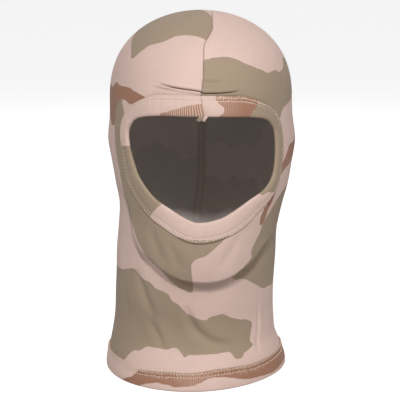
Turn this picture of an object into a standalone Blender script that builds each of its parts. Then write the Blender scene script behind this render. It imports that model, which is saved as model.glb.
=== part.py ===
"""Balaclava: a one-hole hood of thin printed jersey, standing as it sits on a head.

Metres, +Z up. The face opening looks along -Y, the hem lies in the plane z = 0 and the
wearer's left is +X. Two side panels meet in a centre seam, a folded band binds the face
opening, a second one binds the hem, and rows of thread hold the bands on.
"""
import math

import bmesh
import bpy
import numpy as np

# Driving dimensions
HEIGHT = 0.296            # hem to crown
DOME_BASE = 0.222         # from this height up the skull rounds over
AXIS_Y = 0.005            # the hood is widest in this plane
HEM_DEPTH = 0.015         # height of the hem band
FACE_BAND_WIDTH = 0.0150  # width of the band around the face opening
JERSEY = 0.0010           # one layer of jersey with its pile
FOLDED_BAND = 0.0018      # a band folded double
BAND_PROUD = 0.0006       # how far a band stands out past the panels
GAP = 0.0004              # between pieces that touch
THREAD = 0.00035          # radius of a sewing thread
SEAM_WIDTH = 0.005        # overlocked seam allowance inside
SEAM_THICKNESS = 0.0012
SEAM_CLEARANCE = 0.0010   # between the seam allowance and the panels, over their facets
STITCH_SETBACK = 0.0012   # from a band's edge to the first row of stitches
STITCH_SPACING = 0.0027   # between the two needle rows
TAIL_LENGTH = 0.0060      # cut ends of the face band, left hanging at its join
EAR_BULGE = 0.0028
EAR_HEIGHT = 0.192

# Horizontal sections: height, centre x, half width, front y of the neck, back y
SECTIONS = np.array([
    (0.000, -0.0036, 0.0754, -0.0840, 0.0680),
    (0.008, -0.0038, 0.0742, -0.0815, 0.0670),
    (0.017, -0.0044, 0.0723, -0.0770, 0.0650),
    (0.028, -0.0056, 0.0690, -0.0690, 0.0615),
    (0.040, -0.0052, 0.0672, -0.0670, 0.0590),
    (0.070, -0.0046, 0.0666, -0.0730, 0.0580),
    (0.095, -0.0034, 0.0665, -0.0780, 0.0600),
    (0.120, -0.0016, 0.0665, -0.0795, 0.0660),
    (0.140, 0.0008, 0.0682, -0.0830, 0.0760),
    (0.155, 0.0015, 0.0716, -0.0870, 0.0850),
    (0.175, 0.0016, 0.0744, -0.0950, 0.0940),
    (0.200, 0.0012, 0.0750, -0.0960, 0.0992),
    (0.222, 0.0007, 0.0750, -0.0940, 0.0992),
])
# Front of the cloth over the chin and mouth, where it stands out past the neck: height, y
FACE_PROFILE = np.array([
    (0.084, -0.0800), (0.090, -0.0870), (0.096, -0.0905), (0.104, -0.0938), (0.115, -0.0965),
    (0.130, -0.0975), (0.150, -0.0980), (0.180, -0.0975), (0.205, -0.0960), (0.222, -0.0940),
])
CHIN_FOLD_HEIGHT = 0.091  # lowest point of the fold under the chin
JAW_RISE = 0.059          # how much higher the fold ends, JAW_REACH from the middle
JAW_REACH = 0.064

# Edge of the face opening from the chin up to the brow: distance from the middle, height
OPENING = {
    -1: [(0.0000, 0.1385), (0.0090, 0.1405), (0.0230, 0.1480), (0.0360, 0.1560),
         (0.0465, 0.1680), (0.0510, 0.1780), (0.0550, 0.1905), (0.0564, 0.2020),
         (0.0540, 0.2110), (0.0470, 0.2174), (0.0300, 0.2204), (0.0000, 0.2206)],
    1: [(0.0000, 0.1385), (0.0150, 0.1410), (0.0240, 0.1450), (0.0385, 0.1535),
        (0.0490, 0.1600), (0.0550, 0.1690), (0.0585, 0.1830), (0.0587, 0.2020),
        (0.0560, 0.2105), (0.0490, 0.2165), (0.0320, 0.2194), (0.0000, 0.2206)],
}
LOWER_CORNER = 4          # points of OPENING where the panel's mesh turns a corner
UPPER_CORNER = 8
JOIN_SLANT = (0.0035, -0.0002)  # x of the face band's join at the opening and at its outer edge

# Mesh fineness of one side panel
COLUMNS = 22              # centre front to centre back
ROWS = 28                 # hem band to crown
DOME_ROWS_FROM = 17 / 28  # share of the rows that lie below DOME_BASE
HOLE_COLUMNS = 8
HOLE_ROWS = (9, 19)
CHIN_ROWS = (0.015, 0.032, 0.050, 0.066, 0.078, 0.0865, 0.0945, 0.103, 0.112)  # front heights

PINK_TAN = (0.73, 0.53, 0.45, 1.0)
OLIVE = (0.36, 0.30, 0.20, 1.0)
SAND_THREAD = (0.62, 0.47, 0.38, 1.0)


def ease(low, high, value):
    t = np.clip((value - low) / (high - low), 0.0, 1.0)
    return t * t * (3.0 - 2.0 * t)


def along(table, column, height):
    """A smooth curve through one column of a table whose first column is the height."""
    x, y = table[:, 0], table[:, column]
    slope = np.gradient(y, x)
    i = np.clip(np.searchsorted(x, height) - 1, 0, len(x) - 2)
    step = x[i + 1] - x[i]
    t = np.clip((height - x[i]) / step, 0.0, 1.0)
    start = (1 + 2 * t) * (1 - t) ** 2 * y[i] + t * (1 - t) ** 2 * step * slope[i]
    return start + t * t * (3 - 2 * t) * y[i + 1] + t * t * (t - 1) * step * slope[i + 1]


def section(z):
    """Centre x, half width, and the depths of neck, face and back at a height."""
    z = np.asarray(z, float)
    low = np.minimum(z, DOME_BASE)
    rise = np.clip((z - DOME_BASE) / (HEIGHT - DOME_BASE), 0.0, 1.0)
    dome = np.sqrt(1.0 - rise ** 2.5)
    centre = along(SECTIONS, 1, low)
    width = along(SECTIONS, 2, low) * dome
    neck = (AXIS_Y - along(SECTIONS, 3, low)) * dome
    face = (AXIS_Y - along(FACE_PROFILE, 1, np.maximum(low, FACE_PROFILE[0, 0]))) * dome
    back = (along(SECTIONS, 4, low) - AXIS_Y) * dome
    return centre, width, neck, face, back


def surface(turn, z):
    """Point of the cloth's outer face. turn is 0 at the front and +-pi at the back."""
    turn, z = np.broadcast_arrays(np.asarray(turn, float), np.asarray(z, float))
    centre, width, neck, face, back = section(z)
    x = centre + width * np.sin(turn)
    fold = CHIN_FOLD_HEIGHT + JAW_RISE * np.abs(x / JAW_REACH) ** 4.2
    front = neck + (face - neck) * ease(-0.004, 0.003, z - fold)
    y = AXIS_Y - np.where(np.cos(turn) > 0, front, back) * np.cos(turn)
    ear = np.exp(-((z - EAR_HEIGHT) / 0.014) ** 2 - ((np.abs(turn) - 1.66) / 0.38) ** 2)
    return np.stack([x + np.sign(turn) * EAR_BULGE * ear, y, z], -1)


def normal(turn, z):
    """Outward direction of the cloth at a point of surface()."""
    z = np.minimum(z, HEIGHT - 0.001)
    around = surface(turn + 0.01, z) - surface(turn - 0.01, z)
    upward = surface(turn, z + 0.0005) - surface(turn, z - 0.0005)
    out = np.cross(around, upward)
    return out / np.linalg.norm(out, axis=-1, keepdims=True)


def turn_at(x, z):
    """The turn of the point of the front whose x is given."""
    centre, width = section(z)[:2]
    return np.arcsin(np.clip((x - centre) / width, -1.0, 1.0))


def height_of(share):
    """Height of a row: even steps up to the dome, then even steps along its arc."""
    below = HEM_DEPTH + (DOME_BASE - HEM_DEPTH) * share / DOME_ROWS_FROM
    arc = np.sin(0.5 * math.pi * np.clip((share - DOME_ROWS_FROM) / (1 - DOME_ROWS_FROM), 0, 1))
    return np.where(share < DOME_ROWS_FROM, below, DOME_BASE + (HEIGHT - DOME_BASE) * arc)


def share_of(z):
    """Inverse of height_of()."""
    below = DOME_ROWS_FROM * (z - HEM_DEPTH) / (DOME_BASE - HEM_DEPTH)
    rise = np.clip((z - DOME_BASE) / (HEIGHT - DOME_BASE), 0.0, 1.0)
    above = DOME_ROWS_FROM + (1 - DOME_ROWS_FROM) * np.arcsin(rise) * 2 / math.pi
    return np.where(z < DOME_BASE, below, above)


def rounded(points, steps=12):
    """A Catmull-Rom curve through points, mirrored past both ends."""
    mirror = np.array([-1.0, 1.0])
    p = np.array([points[1] * mirror, *points, points[-2] * mirror])
    t = np.arange(steps)[:, None] / steps
    runs = []
    for a, b, c, d in zip(p, p[1:], p[2:], p[3:]):
        runs.append(0.5 * (2 * b + (c - a) * t + (2 * a - 5 * b + 4 * c - d) * t * t
                           + (3 * b - a - 3 * c + d) * t ** 3))
    return np.vstack([*runs, p[-2:-1]])


def spaced(curve, count):
    """count + 1 points at equal distances along a curve."""
    length = np.concatenate([[0.0], np.cumsum(np.linalg.norm(np.diff(curve, axis=0), axis=1))])
    stations = np.linspace(0.0, length[-1], count + 1)
    return np.stack([np.interp(stations, length, column) for column in curve.T], -1)


def opening_edge(side, steps=12):
    """One half of the face opening's edge as (x, z), chin to brow, one point a mesh column."""
    curve = rounded(np.array(OPENING[side]), steps)
    low, high = LOWER_CORNER * steps, UPPER_CORNER * steps
    rows = HOLE_ROWS[1] - HOLE_ROWS[0]
    half = np.vstack([spaced(curve[:low + 1], HOLE_COLUMNS),
                      spaced(curve[low:high + 1], rows)[1:],
                      spaced(curve[high:], HOLE_COLUMNS)[1:]])
    return half * (side, 1)


def around_opening(side, distance):
    """The opening's edge moved outward along the cloth by a distance."""
    edge = opening_edge(side)
    z = edge[:, 1]
    turn = turn_at(edge[:, 0], z)
    tangent = np.gradient(surface(turn, z), axis=0)
    out = np.cross(tangent, normal(turn, z)) * side
    out /= np.linalg.norm(out, axis=1, keepdims=True)
    out[[0, -1], 0] = 0.0
    return edge + distance * out[:, [0, 2]]


def panel_grid(side):
    """Turn and height of every point of a side panel, a grid that bends around the opening."""
    column, row = np.meshgrid(np.arange(COLUMNS + 1), np.arange(ROWS + 1), indexing="ij")
    turn = side * math.pi * column / COLUMNS
    share = row / ROWS
    low, high = HOLE_ROWS
    edge = around_opening(side, FACE_BAND_WIDTH + GAP)
    rim = ([(i, low) for i in range(HOLE_COLUMNS)] + [(HOLE_COLUMNS, j) for j in range(low, high)]
           + [(i, high) for i in range(HOLE_COLUMNS, -1, -1)])
    fixed = (column == 0) | (column == COLUMNS) | (row == 0) | (row == ROWS)
    for (i, j), (x, z) in zip(rim, edge):
        turn[i, j], share[i, j], fixed[i, j] = turn_at(x, z), share_of(z), True
    share[0, :low] = share_of(np.array(CHIN_ROWS))
    share[0, high:] = np.linspace(share[0, high], 1.0, ROWS - high + 1)
    for _ in range(300):
        for grid in (turn, share):
            mean = 0.25 * (grid[:-2, 1:-1] + grid[2:, 1:-1] + grid[1:-1, :-2] + grid[1:-1, 2:])
            grid[1:-1, 1:-1] = np.where(fixed[1:-1, 1:-1], grid[1:-1, 1:-1], mean)
    return turn, height_of(share)


def add_material(obj, colour):
    material = bpy.data.materials.new(obj.name + "_cloth")
    material.use_nodes = True
    shader = material.node_tree.nodes["Principled BSDF"]
    shader.inputs["Base Color"].default_value = colour
    shader.inputs["Roughness"].default_value = 0.9
    shader.inputs["Metallic"].default_value = 0.0
    obj.data.materials.append(material)


def add_sheet(name, points, keep, colour, thickness, proud=0.0):
    """A grid of points as an open sheet, given its thickness by Solidify.

    keep(i, j) says which cells exist, and proud is the part of the thickness outside.
    """
    bm = bmesh.new()
    verts = {}

    def vert(i, j):
        key = (i, j)
        if key not in verts:
            verts[key] = bm.verts.new(points[i, j])
        return verts[key]

    for i in range(points.shape[0] - 1):
        for j in range(points.shape[1] - 1):
            if keep(i, j):
                bm.faces.new((vert(i, j), vert(i + 1, j), vert(i + 1, j + 1), vert(i, j + 1)))
    bmesh.ops.remove_doubles(bm, verts=bm.verts, dist=1e-6)
    bmesh.ops.dissolve_degenerate(bm, edges=bm.edges, dist=1e-7)
    mesh = bpy.data.meshes.new(name)
    bm.to_mesh(mesh)
    bm.free()
    mesh.shade_smooth()
    obj = bpy.data.objects.new(name, mesh)
    parts.objects.link(obj)
    add_material(obj, colour)
    solid = obj.modifiers.new("Thickness", "SOLIDIFY")
    solid.thickness = thickness
    solid.offset = 2.0 * proud / thickness - 1.0
    return obj


def add_thread(name, points, radius, colour, closed):
    """A sewing thread as a thin tube through points."""
    curve = bpy.data.curves.new(name, "CURVE")
    curve.dimensions = "3D"
    curve.bevel_depth = radius
    curve.bevel_resolution = 0
    curve.use_fill_caps = True
    spline = curve.splines.new("POLY")
    spline.points.add(len(points) - 1)
    for point, place in zip(spline.points, points):
        point.co = (*place, 1.0)
    spline.use_cyclic_u = closed
    obj = bpy.data.objects.new(name, curve)
    parts.objects.link(obj)
    add_material(obj, colour)
    return obj


def side_panel(name, side):
    """One half of the hood, from the centre seam round to the centre back."""
    turn, z = panel_grid(side)
    points = surface(turn, z)
    points[..., 0] += side * 0.5 * GAP
    low, high = HOLE_ROWS
    points = points if side > 0 else points[:, ::-1]

    def keep(i, j):
        row = j if side > 0 else ROWS - 1 - j
        return not (i < HOLE_COLUMNS and low <= row < high)

    add_sheet(name, points, keep, PINK_TAN, JERSEY)


def face_loop(distance, lift):
    """Points all round the face opening: distance from its edge, lift off the panels' face."""
    flat = np.vstack([around_opening(1, distance), around_opening(-1, distance)[-2:0:-1]])
    turn = turn_at(flat[:, 0], flat[:, 1])
    return surface(turn, flat[:, 1]) + lift * normal(turn, flat[:, 1])


def face_band():
    """The folded strip round the opening, with its two ends at the brow."""
    strips = []
    for distance, slant in zip(np.linspace(0, FACE_BAND_WIDTH, 3), np.linspace(*JOIN_SLANT, 3)):
        left, right = around_opening(1, distance), around_opening(-1, distance)
        left[-1, 0] = slant + 0.5 * GAP
        right[-1, 0] = slant - 0.5 * GAP
        flat = np.vstack([right[::-1], left[1:]])
        strips.append(surface(turn_at(flat[:, 0], flat[:, 1]), flat[:, 1]))
    add_sheet("face_band", np.array(strips), lambda i, j: True, PINK_TAN, FOLDED_BAND, BAND_PROUD)


def hem_band():
    """The folded strip along the hem, ending in the flat ring that the hood stands on."""
    turn = np.linspace(-math.pi, math.pi, 2 * COLUMNS + 1)
    rows = [surface(turn, np.full_like(turn, z)) for z in (0.0035, 0.009, HEM_DEPTH - GAP)]
    rows.insert(0, rows[0] * (1, 1, 0))
    points = np.array(rows).transpose(1, 0, 2)
    points[-1, :, 0] -= 0.0003
    points[0, :, 0] += 0.0003
    add_sheet("hem_band", points, lambda i, j: True, PINK_TAN, FOLDED_BAND, BAND_PROUD)


def hem_loop(z, lift):
    turn = np.linspace(-math.pi, math.pi, 2 * COLUMNS + 1)[:-1]
    z = np.full_like(turn, z)
    return surface(turn, z) + lift * normal(turn, z)


def needle_rows():
    """Two rows of thread outside and one looper thread inside, on each band."""
    outside = BAND_PROUD + GAP + THREAD
    inside = -(FOLDED_BAND - BAND_PROUD) - GAP - THREAD
    first, second = STITCH_SETBACK, STITCH_SETBACK + STITCH_SPACING
    for name, setback, lift in (("outer_row", first, outside), ("inner_row", second, outside),
                                ("looper_thread", 0.5 * (first + second), inside)):
        face = face_loop(FACE_BAND_WIDTH - setback, lift)
        add_thread("face_" + name, face, THREAD, SAND_THREAD, True)
    for name, setback, lift in (("upper_row", first, outside), ("lower_row", second, outside),
                                ("looper_thread", 0.5 * (first + second), inside)):
        hem = hem_loop(HEM_DEPTH - setback, lift)
        add_thread("hem_" + name, hem, THREAD, SAND_THREAD, True)


def seam_allowance(name, turn, z):
    """The overlocked edges of both panels, turned inside along the centre seam."""
    middle = surface(turn, z)
    run = np.gradient(middle, axis=0)
    run[:, 0] = 0.0
    inward = np.cross(run, (1.0, 0.0, 0.0))
    inward /= np.linalg.norm(inward, axis=1, keepdims=True)
    middle += (JERSEY + SEAM_CLEARANCE) * inward
    across = np.array([0.5 * SEAM_WIDTH, 0.0, 0.0])
    points = np.array([middle - across, middle + across])
    add_sheet(name, points, lambda i, j: True, OLIVE, SEAM_THICKNESS)


def centre_seams():
    """Crown and back seam in one run, and the short seam under the chin."""
    z = panel_grid(1)[1]
    low, high = HOLE_ROWS
    front, rear = z[0, high:], z[COLUMNS, -2:0:-1]
    turn = np.concatenate([np.zeros(len(front)), np.full(len(rear), math.pi)])
    seam_allowance("crown_back_seam", turn, np.concatenate([front, rear]))
    seam_allowance("chin_neck_seam", np.zeros(low - 1), z[0, 1:low])


def face_band_join():
    """The short seam that closes the face band, and its two cut ends."""
    z = np.linspace(OPENING[1][-1][1], around_opening(1, FACE_BAND_WIDTH - 0.006)[-1, 1], 6)
    x = np.interp(z, (z[0], z[0] + FACE_BAND_WIDTH), JOIN_SLANT)
    turn = turn_at(x, z)
    lift = BAND_PROUD + GAP + THREAD
    add_thread("face_band_join", surface(turn, z) + lift * normal(turn, z), THREAD,
               SAND_THREAD, False)


def tail(name, side):
    """A cut end of the band: a thin leaf hanging over the opening's upper edge."""
    top = OPENING[1][-1][1] - GAP
    hinge = JOIN_SLANT[0] + side * 0.0012
    tip = hinge + side * 0.0022
    outline = [(hinge - 0.0009, top), (tip - 0.0006, top - TAIL_LENGTH),
               (tip + 0.0006, top - TAIL_LENGTH), (hinge + 0.0009, top)]
    curve = bpy.data.curves.new(name, "CURVE")
    curve.dimensions = "2D"
    curve.fill_mode = "BOTH"
    curve.extrude = 0.5 * JERSEY
    spline = curve.splines.new("POLY")
    spline.points.add(len(outline) - 1)
    for point, (x, z) in zip(spline.points, outline):
        point.co = (x, z, 0.0, 1.0)
    spline.use_cyclic_u = True
    obj = bpy.data.objects.new(name, curve)
    obj.rotation_euler = (0.5 * math.pi, 0.0, 0.0)
    obj.location = (0.0, float(surface(turn_at(hinge, top), top)[1]), 0.0)
    parts.objects.link(obj)
    add_material(obj, PINK_TAN)


for old in list(bpy.data.objects):
    bpy.data.objects.remove(old, do_unlink=True)
parts = bpy.data.collections.new("Balaclava")
bpy.context.scene.collection.children.link(parts)

side_panel("left_panel", 1)
side_panel("right_panel", -1)
face_band()
hem_band()
centre_seams()
needle_rows()
face_band_join()
tail("band_end_left", 1)
tail("band_end_right", -1)
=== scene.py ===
"""Balaclava: a one-hole hood of thin printed jersey, standing as it sits on a head.

Metres, +Z up. The face opening looks along -Y, the hem lies in the plane z = 0 and the
wearer's left is +X. A place on the cloth is named by its turn round the head, 0 in front and
+-pi at the back, and its height. The print and the folds are drawn on the unrolled cloth, in
degrees round the head and millimetres up from the hem, measured along the cloth.
"""
import math

import bmesh
import bpy
import numpy as np
from bpy.props import FloatProperty, FloatVectorProperty, PointerProperty
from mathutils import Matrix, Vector


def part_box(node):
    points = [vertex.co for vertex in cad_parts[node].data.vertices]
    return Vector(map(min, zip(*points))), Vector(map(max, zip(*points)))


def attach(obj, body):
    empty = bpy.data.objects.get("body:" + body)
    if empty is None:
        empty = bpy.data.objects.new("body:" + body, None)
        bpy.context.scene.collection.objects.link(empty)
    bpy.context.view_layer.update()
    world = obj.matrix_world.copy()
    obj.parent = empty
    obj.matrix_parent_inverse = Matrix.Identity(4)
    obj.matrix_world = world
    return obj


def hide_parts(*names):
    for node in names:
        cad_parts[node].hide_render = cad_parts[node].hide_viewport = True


bl_info = {
    "name": "Balaclava",
    "version": (1, 0, 0),
    "blender": (4, 5, 0),
    "location": "3D View > Sidebar > Balaclava",
    "description": "A one-hole hood of printed jersey, sewn from two panels and two bands",
    "category": "Add Mesh",
}

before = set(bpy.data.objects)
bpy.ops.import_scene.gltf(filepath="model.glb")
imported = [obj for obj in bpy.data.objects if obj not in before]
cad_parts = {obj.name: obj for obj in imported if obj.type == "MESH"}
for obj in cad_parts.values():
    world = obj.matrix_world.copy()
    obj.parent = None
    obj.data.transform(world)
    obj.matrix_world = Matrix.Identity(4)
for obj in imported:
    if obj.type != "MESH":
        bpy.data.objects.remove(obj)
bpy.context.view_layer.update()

# The hood's shape, as in the frame
HEIGHT = round(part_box("left_panel")[1][2], 4)
UP = (0.0, 0.0, 1.0)
AXIS_Y = 0.005            # the hood is widest in this plane
MM_PER_DEGREE = 1.31      # round the head, at its widest
DOME_BASE = 0.222         # from this height up the skull rounds over
DOME_ARC = 0.115          # length of the cloth from DOME_BASE to the crown
DOME_POWER = 2.5          # how squarely it rounds over
EAR_BULGE = 0.0028        # how far the ears push the cloth out
EAR_HEIGHT = 0.192
EAR_SPREAD = 0.014        # up and down
EAR_TURN = 1.66
EAR_TURN_SPREAD = 0.38

# The bands
FACE_BAND_WIDTH = 0.0150  # of the band around the face opening
SIDE_NARROWING = 0.34     # how much narrower it is drawn at the sides of the face
NARROWING_FROM = (0.030, 0.056)        # distances from the middle over which it narrows
NARROWING_FROM_RIGHT = (0.165, 0.195)  # on the wearer's right, only over and above these heights
HEM_DEPTH = 0.015         # height of the hem band
HEM_RADIUS = 0.0755       # its mean radius, for its length
HEM_LAP = 0.0002          # how far its ends lap at the back
HEM_TURNS = np.linspace(-math.pi, math.pi, 521)  # the turns at which it is built
GROOVE = 0.00022          # how deep a needle row draws a band in
EDGE_DIP = 0.0003         # how far a band's sewn edge dips towards the panels
JOIN_DIP = 0.0005         # how far the face band's ends dip where they are joined
OUTER_POINTS = 29         # points of a band's section that are its outer layer
FACE_ROW_LIFT = 0.00058   # how far the middle of the face rows' thread lies above the band
HEM_ROW_LIFT = 0.00030    # the same on the hem
HEM_GATHER = 0.95         # how close together the hem's stitches sit
STITCH_SHARE = 0.70       # how much of a stitch's length its thread shows
TAIL_WIDTH = 0.0033       # of the face band's cut ends
ROLL_THICKNESS = 0.0006   # half the thickness of an overlocked seam allowance

# Horizontal sections: height, centre x, half width, front y of the neck, back y
SECTIONS = np.array([
    (0.000, -0.0036, 0.0754, -0.0840, 0.0680),
    (0.008, -0.0038, 0.0742, -0.0815, 0.0670),
    (0.017, -0.0044, 0.0723, -0.0770, 0.0650),
    (0.028, -0.0056, 0.0690, -0.0690, 0.0615),
    (0.040, -0.0052, 0.0672, -0.0670, 0.0590),
    (0.070, -0.0046, 0.0666, -0.0735, 0.0580),
    (0.095, -0.0034, 0.0665, -0.0790, 0.0600),
    (0.120, -0.0016, 0.0665, -0.0800, 0.0660),
    (0.140, 0.0008, 0.0682, -0.0830, 0.0760),
    (0.155, 0.0015, 0.0716, -0.0870, 0.0850),
    (0.175, 0.0016, 0.0744, -0.0950, 0.0940),
    (0.200, 0.0012, 0.0750, -0.0960, 0.0992),
    (0.222, 0.0007, 0.0750, -0.0940, 0.0992),
])
# Front of the cloth over the chin and mouth, where it stands out past the neck: height, y
FACE_PROFILE = np.array([
    (0.076, -0.0800), (0.083, -0.0850), (0.090, -0.0890), (0.096, -0.0915), (0.104, -0.0940),
    (0.115, -0.0965), (0.130, -0.0975), (0.150, -0.0980), (0.180, -0.0975), (0.205, -0.0960),
    (0.222, -0.0940),
])
# Height of the fold under the chin, by degrees round the head
CHIN_FOLD = np.array([
    (-95, 0.172), (-75, 0.165), (-62, 0.152), (-55, 0.132), (-45, 0.115), (-33, 0.1065),
    (-21, 0.0980), (-10, 0.0925), (0, 0.0905), (12, 0.0900), (20, 0.0915), (26, 0.0940),
    (35, 0.0985), (45, 0.1055), (53, 0.1125), (64, 0.1175), (75, 0.1220), (95, 0.1240),
])
UNDERSIDE = (0.0030, 0.0045)  # how far below the fold the cloth turns in, and over what height
# How far below that fold the painted shadow of the chin reaches, by degrees round the head
CHIN_SHADOW_REACH = np.array([
    (-180, 0.0), (-40, 0.0), (-22, 0.0010), (-8, 0.0065), (10, 0.0085), (27, 0.0085), (44, 0.0100),
    (54, 0.0070), (68, 0.0020), (80, 0.0), (180, 0.0),
])
CHIN_SHADOW_STRENGTH = 0.35    # strength of the painted shadow that the chin casts on the cloth below its fold
SEAM_SHADE = (0.55, 0.0005)  # strength of the painted shade along the crown and back seam, and over what width
HEM_SKEW = 0.07           # how much further the hem juts out on the wearer's right
HEM_FLARE = 0.030         # height below which it does
# How far the crown seam leans towards the wearer's left, by y along it
SEAM_LEAN = np.array([
    (-0.0940, 0.0015), (-0.0826, 0.0020), (-0.0708, 0.0030), (-0.0660, 0.0050),
    (-0.0560, 0.0085), (-0.0400, 0.0090), (0.0000, 0.0085), (0.0500, 0.0040), (0.0990, 0.0),
# Painted shadow on the cloth just below the fold under the chin, where the face above casts it
])
# Upper edge of the hem band, by degrees round the head
HEM_TOP = np.array([
    (-180, 0.0150), (-110, 0.0150), (-75, 0.0142), (-56, 0.0146), (-44, 0.0126), (-29, 0.0132),
    (-16, 0.0140), (0, 0.0142), (12, 0.0157), (24, 0.0160), (38, 0.0152), (52, 0.0160),
    (72, 0.0172), (110, 0.0160), (180, 0.0150),
])

# Edge of the face opening from the chin up to the brow: distance from the middle, height
OPENING = {
    -1: [(0.0000, 0.1385), (0.0090, 0.1405), (0.0230, 0.1480), (0.0360, 0.1560),
         (0.0465, 0.1680), (0.0510, 0.1780), (0.0550, 0.1905), (0.0564, 0.2020),
         (0.0540, 0.2110), (0.0470, 0.2174), (0.0300, 0.2204), (0.0000, 0.2206)],
    1: [(0.0000, 0.1385), (0.0150, 0.1410), (0.0240, 0.1450), (0.0385, 0.1535),
        (0.0502, 0.1598), (0.0570, 0.1687), (0.0594, 0.1825), (0.0590, 0.2020),
        (0.0560, 0.2105), (0.0490, 0.2165), (0.0320, 0.2194), (0.0000, 0.2206)],
}
LOWER_CORNER = 4          # points of OPENING where the panel's mesh turns a corner
UPPER_CORNER = 8
CURVE_STEPS = 12          # points of the edge between two points of OPENING
BROW = OPENING[1][-1][1]  # height of the opening's edge at the brow
JOIN_SLANT = (0.0035, -0.0002)  # x of the face band's join at the opening and at its outer edge

# A panel's layout: a grid from centre front to centre back and from hem to crown, which bends
# round the opening; it is relaxed coarsely and then divided, most finely where folds are
COLUMNS, ROWS = 44, 56
DOME_ROWS_FROM = 34 / 56
HOLE_COLUMNS = 16
HOLE_ROWS = (18, 38)
CHIN_ROW = 10             # the row that follows the fold under the chin
CHIN_COLUMNS = 8          # columns over which it does
CHIN_DROP = 0.0005        # how far below the fold's own height it lies
RELAXATIONS = 1200        # passes that even out the coarse grid
CENTRE_FRONT_ROWS = (0.008, 0.090 - 0.003)  # heights between which the first rows are spread
COLUMN_CUTS = ((0, 0.5, 9), (0.5, 16, 84), (16, 42, 84), (42, 44, 14))  # from, to, divisions
ROW_CUTS = ((0, 7, 28), (7, 11, 44), (11, 18, 32), (18, 38, 50), (38, 39, 7), (39, 40.5, 26),
            (40.5, 43, 14), (43, 56, 46))
NEAR_BACK = 3.0           # turn past which a place keeps to its own side of the back seam
TUCK = 0.0045             # how far the panels reach in between the layers of the bands
SEAM_HOLLOW = (0.00055, 0.0007)  # how deep the crown and back seam draws the cloth in, how wide
BAND_HOLLOW = (0.00035, 0.0011)  # the same along the bands
BAND_CLEAR = (0.0002, 0.0015)    # distances from a band over which the folds set in

OUTLINE_STEPS = 4         # points of a printed outline's curve between two of its points
UNPRINTED = -9.0          # millimetres from an outline, where a piece has none of its colour
PRINT_REACH = 12.0        # millimetres from an outline beyond which no distance is needed

# The print, on the unrolled cloth: degrees round the head, millimetres up
OLIVE_BOTH = [
    # cheek and chin
    [(-57, 233), (-62, 228), (-65, 218), (-67, 206), (-66, 190), (-63, 172), (-62, 158),
     (-60, 147), (-58, 137), (-52, 129), (-47, 121), (-40, 112), (-33, 104), (-26, 98),
     (-18, 89), (-10, 82), (-2, 79), (-1.5, 88), (-3, 100), (-3, 107), (1, 111), (6, 113),
     (11, 118.5), (17, 125), (22, 132), (30, 142), (10, 150), (-20, 150), (-42, 165), (-50, 200)],
    # neck
    [(-96, 86), (-75, 86), (-62, 88), (-48, 92.5), (-42, 87), (-33, 85), (-27, 80), (-19, 77),
     (-15, 71), (-10, 67), (-5, 60), (-1, 58), (8, 54.5), (11, 57), (20, 58.5), (30, 53),
     (43, 48.5), (45, 43), (42.5, 32), (45, 28), (36, 24), (33, 21), (28, 21.5), (25, 26.5),
     (15, 26), (-2, 26), (-6, 24.5), (-11, 31), (-19, 29), (-32, 29.5), (-38, 25), (-44, 24),
     (-50, 18), (-58, 12), (-80, 6), (-90, 11), (-99, 8), (-108, 15), (-112, 24), (-121, 28),
     (-120, 38), (-128, 46), (-125, 55), (-129, 64), (-120, 70), (-116, 80), (-107, 79),
     (-102, 87)],
]
OLIVE_RIGHT = [
    # crown
    [(14, 281), (5, 282), (-5, 286), (-15, 286.5), (-22, 285), (-31, 279), (-41, 275),
     (-47, 269), (-53, 262), (-60, 269), (-70, 277), (-80, 283), (-88, 287), (-96, 284),
     (-103, 286), (-110, 280), (-118, 281), (-124, 274), (-131, 275), (-138, 268), (-147, 270),
     (-153, 263), (-161, 266), (-168, 272), (-176, 270), (-186, 262), (-200, 266), (-200, 352),
     (-60, 352), (14, 352)],
    # behind the ear and down the back
    [(-118, 158), (-122, 166), (-128, 168), (-133, 175), (-141, 172), (-147, 178), (-155, 170),
     (-160, 171), (-167, 160), (-178, 162), (-186, 150), (-196, 140), (-190, 128), (-176, 116),
     (-166, 121), (-158, 113), (-150, 118), (-143, 116), (-134, 128), (-127, 130), (-121, 140),
     (-123, 149)],
]
OLIVE_LEFT = [
    # forehead
    [(-12, 264), (1, 264), (10, 265.5), (18, 266), (24, 263.5), (33, 258), (42, 253),
     (47, 250.5), (54, 252), (60, 250), (68, 253.5), (74, 260), (82, 260), (90, 266),
     (97, 262), (104, 264), (110, 256), (118, 254), (120, 245), (127, 240), (120, 233),
     (114, 232), (108, 225), (100, 227), (94, 221), (88, 229), (81, 230), (74, 225), (60, 221),
     (53, 210), (40, 205), (0, 222), (-12, 235)],
    # side of the neck
    [(77, 156), (65.5, 153), (60.5, 149.5), (56.5, 145.5), (52, 138.5), (49, 135), (47, 130),
     (46.5, 125.5), (43.5, 120), (41, 115), (39.5, 110), (41, 107), (37, 102), (31, 97),
     (26, 90), (29, 87.5), (36, 86.5), (43, 82), (50, 77.5), (56, 73), (66, 72), (78, 71),
     (84, 75), (90, 73), (96, 79), (103, 77), (109, 86), (107, 94), (115, 99), (119, 108),
     (113, 115), (114, 124), (106, 129), (104, 138), (96, 141), (91, 150), (84, 151)],
    # back of the head and of the neck
    [(130, 214), (137, 217), (143, 225), (150, 224), (157, 228), (163, 220), (170, 221),
     (176, 214), (186, 218), (204, 222), (204, 184), (190, 181), (183, 186), (174, 172),
     (165, 176), (158, 170), (148, 176), (141, 173), (136, 182), (134, 192), (128, 197),
     (132, 206)],
    [(128, 62), (134, 63), (139, 71), (146, 74), (152, 69), (159, 75), (166, 70), (175, 74),
     (182, 70), (204, 76), (204, 26), (186, 24), (178, 17), (168, 16), (160, 22), (152, 17),
     (144, 24), (140, 20), (132, 28), (122, 40), (126, 49), (122, 56)],
]
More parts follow.
